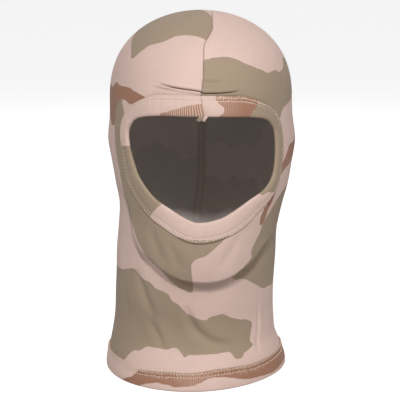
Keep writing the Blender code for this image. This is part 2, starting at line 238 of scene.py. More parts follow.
BROWN_RIGHT = [
    # temple
    [(-72, 236), (-66, 240.5), (-59, 239), (-50, 238.5), (-42, 236), (-34, 231), (-46, 226),
     (-52, 228.5), (-58, 228), (-64, 220), (-67, 207), (-73, 206), (-82, 214), (-90, 228),
     (-84, 238)],
    # back of the head and of the neck
    [(-136, 224), (-141, 231), (-148, 231), (-154, 236), (-162, 232), (-170, 235), (-176, 230),
     (-188, 233), (-204, 236), (-204, 204), (-190, 200), (-182, 206), (-172, 200), (-165, 205),
     (-157, 203), (-150, 208), (-143, 211), (-142, 218)],
    [(-146, 66), (-152, 72), (-158, 72), (-164, 78), (-172, 74), (-182, 74), (-204, 80),
     (-204, 48), (-192, 44), (-184, 48), (-176, 42), (-168, 47), (-160, 45), (-152, 50),
     (-150, 58)],
]
BROWN_LEFT = [
    # ear, running down along the cheek
    [(84, 194), (78.5, 191.5), (69, 190), (63.5, 183), (58.5, 177.5), (55.5, 174), (52, 168),
     (50, 158), (48.5, 150.5), (46.5, 145), (44.5, 139), (44, 132.5), (47, 131.5), (48.5, 135.5),
     (50, 141.5), (52.5, 148), (54, 156), (55, 162), (57.5, 168), (63, 172), (71.5, 174.5),
     (80, 178.5), (87, 176), (93, 178), (99, 173), (106, 174), (113, 170), (120, 177),
     (114, 183), (113, 190), (105, 190), (99, 197), (90, 196)],
    # crown and back of the neck
    [(112, 300), (120, 301), (126, 307), (134, 306), (141, 309), (148, 302), (158, 300),
     (164, 292), (172, 292), (178, 286), (190, 291), (204, 290), (204, 262), (190, 262),
     (184, 268), (172, 258), (162, 264), (155, 260), (146, 264), (138, 270), (131, 270),
     (124, 280), (115, 286), (116, 293)],
    [(124, 132), (131, 136), (134, 144), (140, 148), (148, 143), (155, 147), (162, 142),
     (172, 147), (182, 144), (204, 150), (204, 124), (190, 122), (182, 127), (173, 117),
     (164, 116), (156, 121), (148, 116), (136, 118), (131, 124)],
]
BAND_OLIVE = [
    [(34, 242), (35, 231), (33, 225.5), (29, 219), (26, 214), (34, 206), (40, 180), (38, 158),
     (44, 158.5), (50, 157), (60, 158), (90, 170), (90, 242)],
    [(-80, 196), (-66, 192.5), (-58, 192), (-47, 194), (-36, 196), (-22, 172), (-25, 154),
     (-28, 149), (-33, 143), (-42, 132), (-80, 146)],
    [(-15, 127.5), (-9, 127), (-4, 126.3), (1, 126), (9, 126.2), (15, 127.2), (21, 128),
     (24, 118), (-18, 118)],
]
BAND_BROWN_RIGHT = [
    [(-25, 220), (-18, 224), (-9, 227.4), (-3, 229.2), (14, 230), (14, 210), (-28, 210)],
]
BAND_BROWN_LEFT = [
    [(9.5, 241), (9, 231), (13, 227), (13, 223), (10, 219.5), (9, 212), (27, 212), (29, 219),
     (33.5, 226), (35, 232), (32, 241)],
]
HEM_OLIVE = [
    [(150, -8), (158, 6), (150, 24), (178, 26), (214, 24), (214, -20), (176, -22)],
]
HEM_BROWN = [
    [(-62, -5), (-55, -1), (-48, 3), (-44, 5), (-40, 9), (-36, 15), (-30, 26), (104, 26),
     (116, 15), (102, 6), (76, 5), (61, 3), (52, 3), (45, 4), (34, 5), (25, 7.5), (17, 10),
     (9, 10), (3, 7), (-4, 4.5), (-12, 4), (-18, 5), (-24, 5.5), (-31, 3.5), (-37, 0.5),
     (-42, -2), (-50, -5)],
    [(-128, 26), (-140, 8), (-160, -4), (-200, 2), (-200, 26)],
]

# Folds: points on the unrolled cloth, then in millimetres their depth, their half width and how
# far the cloth above hangs over them, which also sets the painted shade in their groove; they fade
# towards their ends
FOLDS = [
    ([(-26, 244), (-18, 242.2), (-12, 241.2), (-6, 240.4), (-0.6, 239.3), (1, 238.1), (6, 237.8),
      (12, 237.8), (17, 238), (24, 238.4)], 3.0, 0.75, 1.5),
    ([(-1, 246.9), (6, 246.2), (14, 246.4)], 0.6, 1.0, 0.3),
    ([(-30, 241.5), (-22, 240.2), (-14, 239.2)], 0.6, 0.9, 0.3),
    ([(-8, 248), (-2, 251), (-1, 258)], 0.25, 2.0, 0.0),
    ([(-57, 123), (-51, 114), (-46, 108), (-40, 102.5), (-33, 97)], 1.0, 0.9, 0.6),
    ([(-46, 93), (-40, 80), (-34, 66), (-27, 52)], 2.2, 4.0, 0.0),
    ([(-60, 80), (-56, 60), (-50, 44)], 0.7, 4.0, 0.0),
    ([(-34, 54), (-27, 42), (-19, 28)], 1.4, 3.0, 0.0),
    ([(-6, 68), (-1, 51), (6, 41), (14, 35), (28, 30)], 2.6, 3.4, 0.0),
    ([(50, 68), (52.5, 52), (51, 34), (47, 20)], 1.0, 1.8, 0.0),
    ([(54, 164), (50, 152), (46, 143), (43.5, 133)], 1.0, 1.0, 0.5),
    ([(-36, 134), (-29, 118), (-20, 104)], 1.1, 4.0, 0.0),
    ([(-22, 124), (-15, 112), (-9, 100)], 0.8, 4.0, 0.0),
    ([(30, 128), (22, 112), (16, 100)], 0.7, 4.5, 0.0),
    ([(-72, 200), (-70, 184), (-66, 168)], 0.5, 2.5, 0.0),
    ([(150, 108), (168, 100), (186, 104)], 1.0, 3.5, 0.3),
    ([(-140, 96), (-160, 92), (-184, 98)], 0.9, 3.0, 0.3),
    ([(120, 120), (134, 108), (146, 90)], 0.7, 4.0, 0.0),
    ([(-116, 118), (-130, 104), (-138, 84)], 0.7, 4.0, 0.0),
]


# Shape of the cloth

def ease(low, high, value):
    """A smooth step from 0 at low to 1 at high; low may be the larger."""
    t = np.clip((value - low) / (high - low), 0.0, 1.0)
    return t * t * (3.0 - 2.0 * t)


def unit(vectors):
    """Vectors made 1 long."""
    return vectors / np.linalg.norm(vectors, axis=-1, keepdims=True)


def level(vectors):
    """Directions turned level."""
    return unit(vectors * (1, 1, 0))


def hollow(distance, depth, width):
    """A rounded hollow's depth at a distance from its middle."""
    return depth * np.exp(-(distance / width) ** 2)


def along(table, column, value):
    """A smooth curve through one column of a table, against its first column."""
    x, y = table[:, 0], table[:, column]
    slope = np.gradient(y, x)
    i = np.clip(np.searchsorted(x, value) - 1, 0, len(x) - 2)
    step = x[i + 1] - x[i]
    t = np.clip((value - x[i]) / step, 0.0, 1.0)
    start = (1 + 2 * t) * (1 - t) ** 2 * y[i] + t * (1 - t) ** 2 * step * slope[i]
    return start + t * t * (3 - 2 * t) * y[i + 1] + t * t * (t - 1) * step * slope[i + 1]


def section(z):
    """Centre x, half width, and the depths of neck, face and back at a height."""
    z = np.asarray(z, float)
    low = np.clip(z, 0.0, DOME_BASE)
    rise = np.clip((z - DOME_BASE) / (HEIGHT - DOME_BASE), 0.0, 1.0)
    dome = np.sqrt(1.0 - rise ** DOME_POWER)
    centre = along(SECTIONS, 1, low)
    width = along(SECTIONS, 2, low) * dome
    neck = (AXIS_Y - along(SECTIONS, 3, low)) * dome
    face = (AXIS_Y - along(FACE_PROFILE, 1, np.maximum(low, FACE_PROFILE[0, 0]))) * dome
    back = (along(SECTIONS, 4, low) - AXIS_Y) * dome
    return centre, width, neck, face, back


def surface(turn, z):
    """Point of the cloth's outer face, before its small folds."""
    turn, z = np.broadcast_arrays(np.asarray(turn, float), np.asarray(z, float))
    centre, width, neck, face, back = section(z)
    x = centre + width * np.sin(turn)
    fold = along(CHIN_FOLD, 1, np.degrees(turn))
    under = np.clip((z - fold + UNDERSIDE[0]) / UNDERSIDE[1], 0.0, 1.0)
    front = neck + (face - neck) * (1.0 - (1.0 - under) ** 3)
    front = front * (1.0 - HEM_SKEW * np.sin(turn) * ease(HEM_FLARE, 0.0, z))
    y = AXIS_Y - np.where(np.cos(turn) > 0, front, back) * np.cos(turn)
    ear = np.exp(-((z - EAR_HEIGHT) / EAR_SPREAD) ** 2
                 - ((np.abs(turn) - EAR_TURN) / EAR_TURN_SPREAD) ** 2)
    return np.stack([x + np.sign(turn) * EAR_BULGE * ear, y, z], -1)


def normal(turn, z):
    """Outward direction of the cloth at a point of surface()."""
    z = np.minimum(z, HEIGHT - 0.001)
    around = surface(turn + 0.01, z) - surface(turn - 0.01, z)
    upward = surface(turn, z + 0.0005) - surface(turn, z - 0.0005)
    return unit(np.cross(around, upward))


def turn_at(x, z):
    """The turn of the point of the front whose x is given."""
    centre, width = section(z)[:2]
    return np.arcsin(np.clip((x - centre) / width, -1.0, 1.0))


def turn_of(points):
    """The turn of points that lie on the cloth or near it."""
    centre, width, _, face, back = section(np.minimum(points[..., 2], HEIGHT - 1e-5))
    depth = np.where(points[..., 1] > AXIS_Y, back, face)
    return np.arctan2((points[..., 0] - centre) / width, (AXIS_Y - points[..., 1]) / depth)


def unrolled(turn, z):
    """Degrees and millimetres on the unrolled cloth."""
    rise = np.clip((z - DOME_BASE) / (HEIGHT - DOME_BASE), 0.0, 1.0)
    up = np.where(z < DOME_BASE, z, DOME_BASE + DOME_ARC * np.arcsin(rise) * 2 / math.pi)
    return np.stack([np.degrees(turn), up * 1000.0], -1)


def height_of(share):
    """Height of a row: even steps up to the dome, then even steps along its arc."""
    below = HEM_DEPTH + (DOME_BASE - HEM_DEPTH) * share / DOME_ROWS_FROM
    arc = np.sin(0.5 * math.pi * np.clip((share - DOME_ROWS_FROM) / (1 - DOME_ROWS_FROM), 0, 1))
    return np.where(share < DOME_ROWS_FROM, below, DOME_BASE + (HEIGHT - DOME_BASE) * arc)


def share_of(z):
    """Inverse of height_of()."""
    below = DOME_ROWS_FROM * (z - HEM_DEPTH) / (DOME_BASE - HEM_DEPTH)
    rise = np.clip((z - DOME_BASE) / (HEIGHT - DOME_BASE), 0.0, 1.0)
    above = DOME_ROWS_FROM + (1 - DOME_ROWS_FROM) * np.arcsin(rise) * 2 / math.pi
    return np.where(z < DOME_BASE, below, above)


def rounded(points):
    """A Catmull-Rom curve through points, mirrored past both ends."""
    mirror = np.array([-1.0, 1.0])
    p = np.array([points[1] * mirror, *points, points[-2] * mirror])
    return np.vstack([spline(p, CURVE_STEPS), p[-2:-1]])


def smooth_path(points, steps=6):
    """A Catmull-Rom curve through points, from the first to the last."""
    p = np.array([points[0], *points, points[-1]], float)
    return np.vstack([spline(p, steps), p[-1:]])


def spline(p, steps):
    """A Catmull-Rom curve through all but the first and last of some points."""
    t = np.arange(steps)[:, None] / steps
    return np.vstack([0.5 * (2 * b + (c - a) * t + (2 * a - 5 * b + 4 * c - d) * t * t
                             + (3 * b - a - 3 * c + d) * t ** 3)
                      for a, b, c, d in zip(p, p[1:], p[2:], p[3:])])


def run_length(line):
    """Distance along a line at each of its points."""
    return np.concatenate([[0.0], np.cumsum(np.linalg.norm(np.diff(line, axis=0), axis=1))])


def spaced(curve, count):
    """count + 1 points at equal distances along a curve."""
    length = run_length(curve)
    stations = np.linspace(0.0, length[-1], count + 1)
    return np.stack([np.interp(stations, length, column) for column in curve.T], -1)


def outward(side, edge):
    """Direction away from the opening, as x and z, at points of its edge.

    It is shorter than 1 at the sides, where the bands and all that follows them are narrower.
    """
    turn = turn_at(edge[:, 0], edge[:, 1])
    tangent = np.gradient(surface(turn, edge[:, 1]), axis=0)
    out = unit(np.cross(tangent, normal(turn, edge[:, 1])) * side)
    out[[0, -1], 0] = 0.0
    narrowing = SIDE_NARROWING * ease(*NARROWING_FROM, np.abs(edge[:, 0]))
    if side < 0:
        narrowing = narrowing * ease(*NARROWING_FROM_RIGHT, edge[:, 1])
    return out[:, [0, 2]] * (1.0 - narrowing)[:, None]


def hole_rim(side, distance):
    """The opening's edge moved outward, one point for each column and row of the layout."""
    curve = rounded(np.array(OPENING[side]))
    low, high = LOWER_CORNER * CURVE_STEPS, UPPER_CORNER * CURVE_STEPS
    rows = HOLE_ROWS[1] - HOLE_ROWS[0]
    edge = np.vstack([spaced(curve[:low + 1], HOLE_COLUMNS),
                      spaced(curve[low:high + 1], rows)[1:],
                      spaced(curve[high:], HOLE_COLUMNS)[1:]]) * (side, 1)
    return edge + distance * outward(side, edge)


def panel_layout(side):
    """Turn and height at every point of a side panel's coarse grid."""
    column, row = np.meshgrid(np.arange(COLUMNS + 1), np.arange(ROWS + 1), indexing="ij")
    turn = side * math.pi * column / COLUMNS
    share = row / ROWS
    low, high = HOLE_ROWS
    rim = ([(i, low) for i in range(HOLE_COLUMNS)] + [(HOLE_COLUMNS, j) for j in range(low, high)]
           + [(i, high) for i in range(HOLE_COLUMNS, -1, -1)])
    fixed = (column == 0) | (column == COLUMNS) | (row == 0) | (row == ROWS)
    for (i, j), (x, z) in zip(rim, hole_rim(side, FACE_BAND_WIDTH - TUCK)):
        turn[i, j], share[i, j], fixed[i, j] = turn_at(x, z), share_of(z), True
    bottom, chin = CENTRE_FRONT_ROWS
    share[0, :CHIN_ROW + 1] = share_of(np.linspace(bottom, chin, CHIN_ROW + 1))
    share[0, CHIN_ROW:low + 1] = np.linspace(share[0, CHIN_ROW], share[0, low], low - CHIN_ROW + 1)
    share[0, high:] = np.linspace(share[0, high], 1.0, ROWS - high + 1)
    share[:, 0] = share_of(np.array(bottom))
    share[-1] = np.linspace(share[-1, 0], 1.0, ROWS + 1)
    for i in range(CHIN_COLUMNS):
        turn[i, CHIN_ROW] = side * math.pi * i / COLUMNS
        fold = along(CHIN_FOLD, 1, np.degrees(turn[i, CHIN_ROW]))
        share[i, CHIN_ROW], fixed[i, CHIN_ROW] = share_of(fold - CHIN_DROP), True
    for _ in range(RELAXATIONS):
        for grid in (turn, share):
            mean = 0.25 * (grid[:-2, 1:-1] + grid[2:, 1:-1] + grid[1:-1, :-2] + grid[1:-1, 2:])
            grid[1:-1, 1:-1] = np.where(fixed[1:-1, 1:-1], grid[1:-1, 1:-1], mean)
    return turn, share


def divided(cuts):
    """Grid lines of the fine panel, in steps of the coarse one."""
    runs = [np.linspace(start, end, count + 1)[:-1] for start, end, count in cuts]
    return np.concatenate([*runs, [cuts[-1][1]]])


def between(grid, columns, rows):
    """Values of a coarse grid between its lines."""
    rough = np.array([np.interp(rows, np.arange(grid.shape[1]), line) for line in grid])
    return np.array([np.interp(columns, np.arange(len(rough)), line) for line in rough.T]).T


def lean(points):
    """Points of the dome moved so that the crown seam leans towards the wearer's left."""
    centre, width, _, face, back = section(np.full(points.shape[:-1], DOME_BASE))
    x = points[..., 0] - centre
    amount = along(SEAM_LEAN, 1, points[..., 1]) * ease(DOME_BASE + 0.010, DOME_BASE + 0.030,
                                                        points[..., 2])
    moved = points.copy()
    moved[..., 0] += amount * np.clip(1 - (x / width) ** 2, 0.0, 1.0)
    origin = np.stack([centre, np.full_like(centre, AXIS_Y), np.full_like(centre, DOME_BASE)], -1)
    ray = moved - origin
    depth = np.where(ray[..., 1] > 0, back, face)
    flat = (ray[..., 0] / width) ** 2 + (ray[..., 1] / depth) ** 2
    rise = np.clip(ray[..., 2] / (HEIGHT - DOME_BASE), 0.0, 2.0)
    stretch = np.ones_like(flat)
    for _ in range(6):
        error = stretch ** 2 * flat + (stretch * rise) ** DOME_POWER - 1.0
        slope = DOME_POWER * stretch ** (DOME_POWER - 1.0) * rise ** DOME_POWER
        stretch -= error / (2 * stretch * flat + slope + 1e-9)
    return np.where((rise > 0)[..., None], origin + ray * stretch[..., None], points)


def nearest(places, path):
    """Distance to a path on a plane, share of its length there, and side of it."""
    best = np.full(places.shape[:-1], 1e9)
    share, side = np.zeros_like(best), np.ones_like(best)
    start = run_length(path)
    runs = np.diff(start)
    for i, (a, b) in enumerate(zip(path, path[1:])):
        step = b - a
        t = np.clip(((places - a) @ step) / (step @ step), 0.0, 1.0)
        gap = places - (a + t[..., None] * step)
        distance = np.hypot(gap[..., 0], gap[..., 1])
        closer = distance < best
        best = np.where(closer, distance, best)
        share = np.where(closer, (start[i] + t * runs[i]) / start[-1], share)
        side = np.where(closer, np.sign(step[0] * gap[..., 1] - step[1] * gap[..., 0]), side)
    return best, share, side


def in_mm(places):
    """Degrees round the head made millimetres."""
    return np.asarray(places, float) * (MM_PER_DEGREE, 1.0)


def folds(turn, z):
    """Lift off the smooth cloth and shift up it, in metres, and painted shade in the creases, 0 to
    1.

    Each fold is a groove with a low shoulder on both sides of it, and a lip that hangs over it
    where it has one. Two slow waves on the neck are added.
    """
    places = in_mm(unrolled(turn, z))
    lift, sag, crease = (np.zeros(turn.shape) for _ in range(3))
    for points, depth, width, overhang in FOLDS:
        path = smooth_path(in_mm(points))
        if path[0, 0] > path[-1, 0]:
            path = path[::-1]
        distance, share, side = nearest(places, path)
        fade = np.clip(4.0 * share * (1.0 - share), 0.0, 1.0) ** 0.8
        groove = hollow(distance, 1.0, width)
        shoulder = hollow(distance - 2.2 * width, 0.35, 1.6 * width)
        lift += fade * depth * (shoulder - groove)
        lip = hollow(distance / width - 1.3, 1.0, 1.2) * ease(0.0, width, distance)
        sag -= fade * overhang * lip * (side > 0)
        # Painted shade in the groove, as strong as the lip that hangs over it, up to 1
        crease = np.maximum(crease, fade * min(overhang, 1.0) * groove)
    a, v = places[..., 0], places[..., 1]
    lift += 0.25 * np.sin(a / 13.0 + 0.6 * np.sin(v / 17.0)) * ease(100, 60, v) * ease(10, 40, v)
    lift += 0.30 * np.sin(v / 9.0 + a / 31.0) * ease(60, 100, np.abs(a)) * ease(150, 100, v)
    return lift * 0.001, sag * 0.001, crease


def cloth(turn, z):
    """A panel's outer face before its folds, and the same places on the unrolled cloth."""
    smooth = lean(surface(turn, z))
    actual = turn_of(smooth)
    own_side = np.where(turn > 0, np.abs(actual), -np.abs(actual))
    actual = np.where(np.abs(turn) > NEAR_BACK, own_side, actual)
    actual = np.where(z < DOME_BASE, turn, actual)
    return smooth, unrolled(actual, smooth[..., 2])


def signed_distance(places, outlines):
    """Millimetres inside (+) or outside (-) the nearest of several rounded outlines."""
    best = np.full(places.shape[:-1], -1e9)
    for outline in outlines:
        p = in_mm(outline)
        p = np.vstack([p[-1:], p, p[:2]])
        curve = spline(p, OUTLINE_STEPS)
        curve = np.vstack([curve, curve[:1]])
        distance = nearest(places, curve)[0]
        inside = np.zeros(places.shape[:-1], bool)
        x, y = places[..., 0], places[..., 1]
        for a, b in zip(curve, curve[1:]):
            if a[1] != b[1]:
                crosses = (a[1] > y) != (b[1] > y)
                inside ^= crosses & (x < a[0] + (b[0] - a[0]) * (y - a[1]) / (b[1] - a[1]))
        best = np.maximum(best, np.where(inside, distance, -distance))
    return np.clip(best, -PRINT_REACH, PRINT_REACH)


# Meshes

def new_object(name, data):
    """An object of some data, put in the scene."""
    obj = bpy.data.objects.new(name, data)
    bpy.context.scene.collection.objects.link(obj)
    return obj


def grid_object(name, points, uv, marks, keep=None):
    """A grid of points as a smooth open sheet, with a UV map in metres and point attributes."""
    columns, rows = points.shape[:2]
    index = np.arange(columns * rows).reshape(columns, rows)
    quads = np.stack([index[:-1, :-1], index[1:, :-1], index[1:, 1:], index[:-1, 1:]], -1)
    quads = quads[keep] if keep is not None else quads.reshape(-1, 4)
    used, corners = np.unique(quads, return_inverse=True)
    quads = corners.reshape(-1, 4)
    mesh = bpy.data.meshes.new(name)
    mesh.from_pydata(points.reshape(-1, 3)[used].tolist(), [], quads.tolist())
    for mark, values in marks.items():
        layer = mesh.attributes.new(mark, "FLOAT", "POINT")
        layer.data.foreach_set("value", values.reshape(-1)[used].astype(np.float32))
    layer = mesh.uv_layers.new(name="Cloth")
    layer.data.foreach_set("uv", uv.reshape(-1, 2)[used][quads].astype(np.float32).ravel())
    bm = bmesh.new()
    bm.from_mesh(mesh)
    bmesh.ops.remove_doubles(bm, verts=bm.verts, dist=1e-6)
    bmesh.ops.dissolve_degenerate(bm, edges=bm.edges, dist=1e-7)
    bm.to_mesh(mesh)
    bm.free()
    mesh.shade_smooth()
    return new_object(name, mesh)


def thicken(obj, thickness, materials):
    """A wall inwards from the sheet; its inner side takes the second material."""
    for material in materials:
        obj.data.materials.append(material)
    wall = obj.modifiers.new("Thickness", "SOLIDIFY")
    wall.thickness = thickness
    wall.offset = -1.0
    wall.use_even_offset = False
    wall.material_offset = 1
    wall.material_offset_rim = 1


def repeated(direction, points):
    """The same direction for every one of some points."""
    return np.tile(direction, (len(points), 1))


def path_object(name, points, vectors):
    """Points joined by edges, each with named directions, for the sewing trees."""
    mesh = bpy.data.meshes.new(name)
    edges = [(i, i + 1) for i in range(len(points) - 1)]
    mesh.from_pydata(np.asarray(points).tolist(), edges, [])
    for key, values in vectors.items():
        layer = mesh.attributes.new(key, "FLOAT_VECTOR", "POINT")
        layer.data.foreach_set("vector", np.asarray(values, np.float32).ravel())
    return new_object(name, mesh)


def sew(obj, tree_name, **values):
    """Runs a sewing tree on a path and keeps the result as a plain mesh in thread."""
    tree = shared_tree(tree_name)
    values["material"] = material("Sand thread")
    modifier = obj.modifiers.new("Sewing", "NODES")
    modifier.node_group = tree
    for item in tree.interface.items_tree:
        key = item.name.lower().replace(" ", "_")
        if item.in_out == "INPUT" and key in values:
            modifier[item.identifier] = values[key]
    graph = bpy.context.evaluated_depsgraph_get()
    mesh = bpy.data.meshes.new_from_object(obj.evaluated_get(graph), depsgraph=graph)
    obj.modifiers.remove(modifier)
    path = obj.data
    obj.data = mesh
    mesh.name = obj.name
    bpy.data.meshes.remove(path)
    if not mesh.polygons:
        raise RuntimeError(f"{obj.name}: the sewing tree made no stitches")
    return obj


# Node trees

def add_node(tree, kind, inputs=None, **settings):
    """A node with its settings; each of its inputs is a socket to link or a value."""
    node = tree.nodes.new(kind)
    for key, value in settings.items():
        setattr(node, key, value)
    for key, value in (inputs or {}).items():
        if isinstance(value, bpy.types.NodeSocket):
            tree.links.new(value, node.inputs[key])
        else:
            node.inputs[key].default_value = value
    return node


def math_node(tree, operation, *values, clamp=False):
    """A Math node; each value is a socket or a number. Gives its output."""
    return add_node(tree, "ShaderNodeMath", dict(enumerate(values)), operation=operation,
                    use_clamp=clamp).outputs["Value"]


def mix_colour(tree, factor, first, second, blend="MIX"):
    """Two colours mixed; each value is a socket or a plain value."""
    return add_node(tree, "ShaderNodeMix", {"Factor": factor, 6: first, 7: second},
                    data_type="RGBA", blend_type=blend).outputs[2]


def noise_value(tree, vector, scale, detail=2.0):
    """Soft noise from 0 to 1."""
    return add_node(tree, "ShaderNodeTexNoise",
                    {"Vector": vector, "Scale": scale, "Detail": detail}).outputs["Fac"]


def new_tree(name, kind, inputs, outputs):
    """A tree with named sockets, what its inputs give, and where its results go."""
    tree = bpy.data.node_groups.new(name, kind)
    for title, value, default in inputs:
        socket = tree.interface.new_socket(name=title, in_out="INPUT",
                                           socket_type="NodeSocket" + value)
        if default is not None:
            socket.default_value = default
    for title, value in outputs:
        tree.interface.new_socket(name=title, in_out="OUTPUT", socket_type="NodeSocket" + value)
    source, result = tree.nodes.new("NodeGroupInput"), tree.nodes.new("NodeGroupOutput")
    return tree, source.outputs, result.inputs


def end_sewing(tree, geometry, given, result):
    """Ends a sewing tree with real meshes in the thread's material."""
    real = add_node(tree, "GeometryNodeRealizeInstances", {"Geometry": geometry})
    paint = add_node(tree, "GeometryNodeSetMaterial",
                     {"Geometry": real.outputs["Geometry"], "Material": given["Material"]})
    tree.links.new(paint.outputs["Geometry"], result["Geometry"])
    return tree


def stitch_tree(name):
    """One stitch at each point of a path, lying along the point's direction."""
    tree, given, result = new_tree(
        name, "GeometryNodeTree",
        [("Geometry", "Geometry", None), ("Stitch Length", "Float", 0.0021),
         ("Thread Radius", "Float", 0.00026), ("Unevenness", "Float", 0.12), ("Seed", "Int", 7),
         ("Material", "Material", None)],
        [("Geometry", "Geometry")])
    radius, uneven = given["Thread Radius"], given["Unevenness"]
    ball = add_node(tree, "GeometryNodeMeshUVSphere", {"Segments": 8, "Rings": 6, "Radius": 1.0})
    smooth = add_node(tree, "GeometryNodeSetShadeSmooth", {"Geometry": ball.outputs["Mesh"]})
    half = math_node(tree, "MULTIPLY", given["Stitch Length"], 0.5)
    size = add_node(tree, "ShaderNodeCombineXYZ", {"X": radius, "Y": radius, "Z": half})
    shape = add_node(tree, "GeometryNodeTransform",
                     {"Geometry": smooth.outputs["Geometry"], "Scale": size.outputs["Vector"]})
    direction = add_node(tree, "GeometryNodeInputNamedAttribute", {"Name": "along"},
                         data_type="FLOAT_VECTOR")
    align = add_node(tree, "FunctionNodeAlignRotationToVector",
                     {"Vector": direction.outputs["Attribute"]}, axis="Z")
    vary = add_node(tree, "FunctionNodeRandomValue",
                    {2: math_node(tree, "SUBTRACT", 1.0, uneven),
                     3: math_node(tree, "ADD", 1.0, uneven), "Seed": given["Seed"]},
                    data_type="FLOAT")
    place = add_node(tree, "GeometryNodeInstanceOnPoints",
                     {"Points": given["Geometry"], "Instance": shape.outputs["Geometry"],
                      "Rotation": align.outputs["Rotation"], "Scale": vary.outputs[1]})
    return end_sewing(tree, place.outputs["Instances"], given, result)


def zigzag_tree(name):
    """A thread that runs to and fro across a path, as a looper's or an overlocker's does."""
    tree, given, result = new_tree(
        name, "GeometryNodeTree",
        [("Geometry", "Geometry", None), ("Step", "Float", 0.0008), ("Width", "Float", 0.004),
         ("Thread Radius", "Float", 0.0002), ("Material", "Material", None)],
        [("Geometry", "Geometry")])
    curve = add_node(tree, "GeometryNodeMeshToCurve", {"Mesh": given["Geometry"]})
    even = add_node(tree, "GeometryNodeResampleCurve",
                    {"Curve": curve.outputs["Curve"], "Length": given["Step"]}, mode="LENGTH")
    index = add_node(tree, "GeometryNodeInputIndex").outputs["Index"]
    turn = math_node(tree, "SUBTRACT", math_node(tree, "MODULO", index, 2.0), 0.5)
    reach = math_node(tree, "MULTIPLY", turn, given["Width"])
    across = add_node(tree, "GeometryNodeInputNamedAttribute", {"Name": "across"},
                      data_type="FLOAT_VECTOR")
    offset = add_node(tree, "ShaderNodeVectorMath",
                      {0: across.outputs["Attribute"], "Scale": reach}, operation="SCALE")
    move = add_node(tree, "GeometryNodeSetPosition",
                    {"Geometry": even.outputs["Curve"], "Offset": offset.outputs["Vector"]})
    circle = add_node(tree, "GeometryNodeCurvePrimitiveCircle",
                      {"Resolution": 6, "Radius": given["Thread Radius"]})
    tube = add_node(tree, "GeometryNodeCurveToMesh",
                    {"Curve": move.outputs["Geometry"], "Profile Curve": circle.outputs["Curve"],
                     "Fill Caps": True})
    smooth = add_node(tree, "GeometryNodeSetShadeSmooth", {"Geometry": tube.outputs["Mesh"]})
    return end_sewing(tree, smooth.outputs["Geometry"], given, result)


def print_group(name):
    """Three-colour camouflage from the distances to its olive and brown outlines."""
    group, given, result = new_tree(
        name, "ShaderNodeTree",
        [("Coordinates", "Vector", None), ("Olive Distance", "Float", 0.0),
         ("Brown Distance", "Float", 0.0), ("Base", "Color", None), ("Olive", "Color", None),
         ("Brown", "Color", None), ("Waviness", "Float", 1.2), ("Edge Blur", "Float", 0.25)],
        [("Color", "Color"), ("Brown Mask", "Float")])
    noise = noise_value(group, given["Coordinates"], 190.0, 1.5)
    wobble = math_node(group, "SUBTRACT", noise, 0.5)
    wobble = math_node(group, "MULTIPLY", wobble, given["Waviness"])
    masks = []
    for outline in ("Olive Distance", "Brown Distance"):
        warped = math_node(group, "ADD", given[outline], wobble)
        scaled = math_node(group, "DIVIDE", warped, given["Edge Blur"])
        masks.append(math_node(group, "ADD", scaled, 0.5, clamp=True))
    colour = mix_colour(group, masks[0], given["Base"], given["Olive"])
    group.links.new(mix_colour(group, masks[1], colour, given["Brown"]), result["Color"])
    group.links.new(masks[1], result["Brown Mask"])
    return group


def knit_group(name):
    """Height of a plain jersey's rows of stitches, from coordinates along the cloth in metres."""
    group, given, result = new_tree(
        name, "ShaderNodeTree",
        [("Coordinates", "Vector", None), ("Wale", "Float", 0.00062),
         ("Course", "Float", 0.00048)],
        [("Height", "Float")])
    split = add_node(group, "ShaderNodeSeparateXYZ", {"Vector": given["Coordinates"]})
    across = math_node(group, "DIVIDE", split.outputs["X"], given["Wale"])
    up = math_node(group, "DIVIDE", split.outputs["Y"], given["Course"])
    slanted = math_node(group, "ADD", up, math_node(group, "PINGPONG", across, 0.5))
    course = math_node(group, "SINE", math_node(group, "MULTIPLY", slanted, 2 * math.pi))
    wale = math_node(group, "SINE", math_node(group, "MULTIPLY", across, 2 * math.pi))
    wale = math_node(group, "ABSOLUTE", wale)
    group.links.new(math_node(group, "MULTIPLY_ADD", course, 0.35, wale), result["Height"])
    return group


def ageing_group(name):
    """Soft unevenness of dye and pile: a tint, a roughness and a height."""
    group, given, result = new_tree(
        name, "ShaderNodeTree",
        [("Coordinates", "Vector", None), ("Color", "Color", None), ("Mottle", "Float", 0.05),
         ("Fleck", "Float", 0.06)],
        [("Color", "Color"), ("Roughness", "Float"), ("Fuzz", "Float")])
    broad, fine = (noise_value(group, given["Coordinates"], scale) for scale in (45.0, 1500.0))
    parts = [math_node(group, "MULTIPLY", math_node(group, "SUBTRACT", value, 0.5), given[amount])
             for value, amount in ((broad, "Mottle"), (fine, "Fleck"))]
    factor = math_node(group, "MULTIPLY_ADD", math_node(group, "ADD", *parts), 2.0, 1.0)
    grey = add_node(group, "ShaderNodeCombineColor",
                    {channel: factor for channel in ("Red", "Green", "Blue")})
    tinted = mix_colour(group, 1.0, given["Color"], grey.outputs["Color"], "MULTIPLY")
    rough = math_node(group, "MULTIPLY_ADD", broad, 0.12, 0.80)
    for socket, value in (("Color", tinted), ("Roughness", rough), ("Fuzz", fine)):
        group.links.new(value, result[socket])
    return group


TREES = {"Row of stitches": stitch_tree, "Zigzag thread": zigzag_tree,
         "Camouflage print": print_group, "Jersey knit": knit_group,
         "Dye and pile": ageing_group}


def shared_tree(name):
    """A node tree by its name, built the first time it is asked for."""
    return bpy.data.node_groups.get(name) or TREES[name](name)


# Materials

def new_material(name):
    """A material, its tree and its shader."""
    material = bpy.data.materials.new(name)
    material.use_nodes = True
    tree = material.node_tree
    return material, tree, tree.nodes["Principled BSDF"]


def attribute(tree, name):
    """The value of one of the cloth's own marks."""
    return add_node(tree, "ShaderNodeAttribute", attribute_name=name).outputs["Fac"]


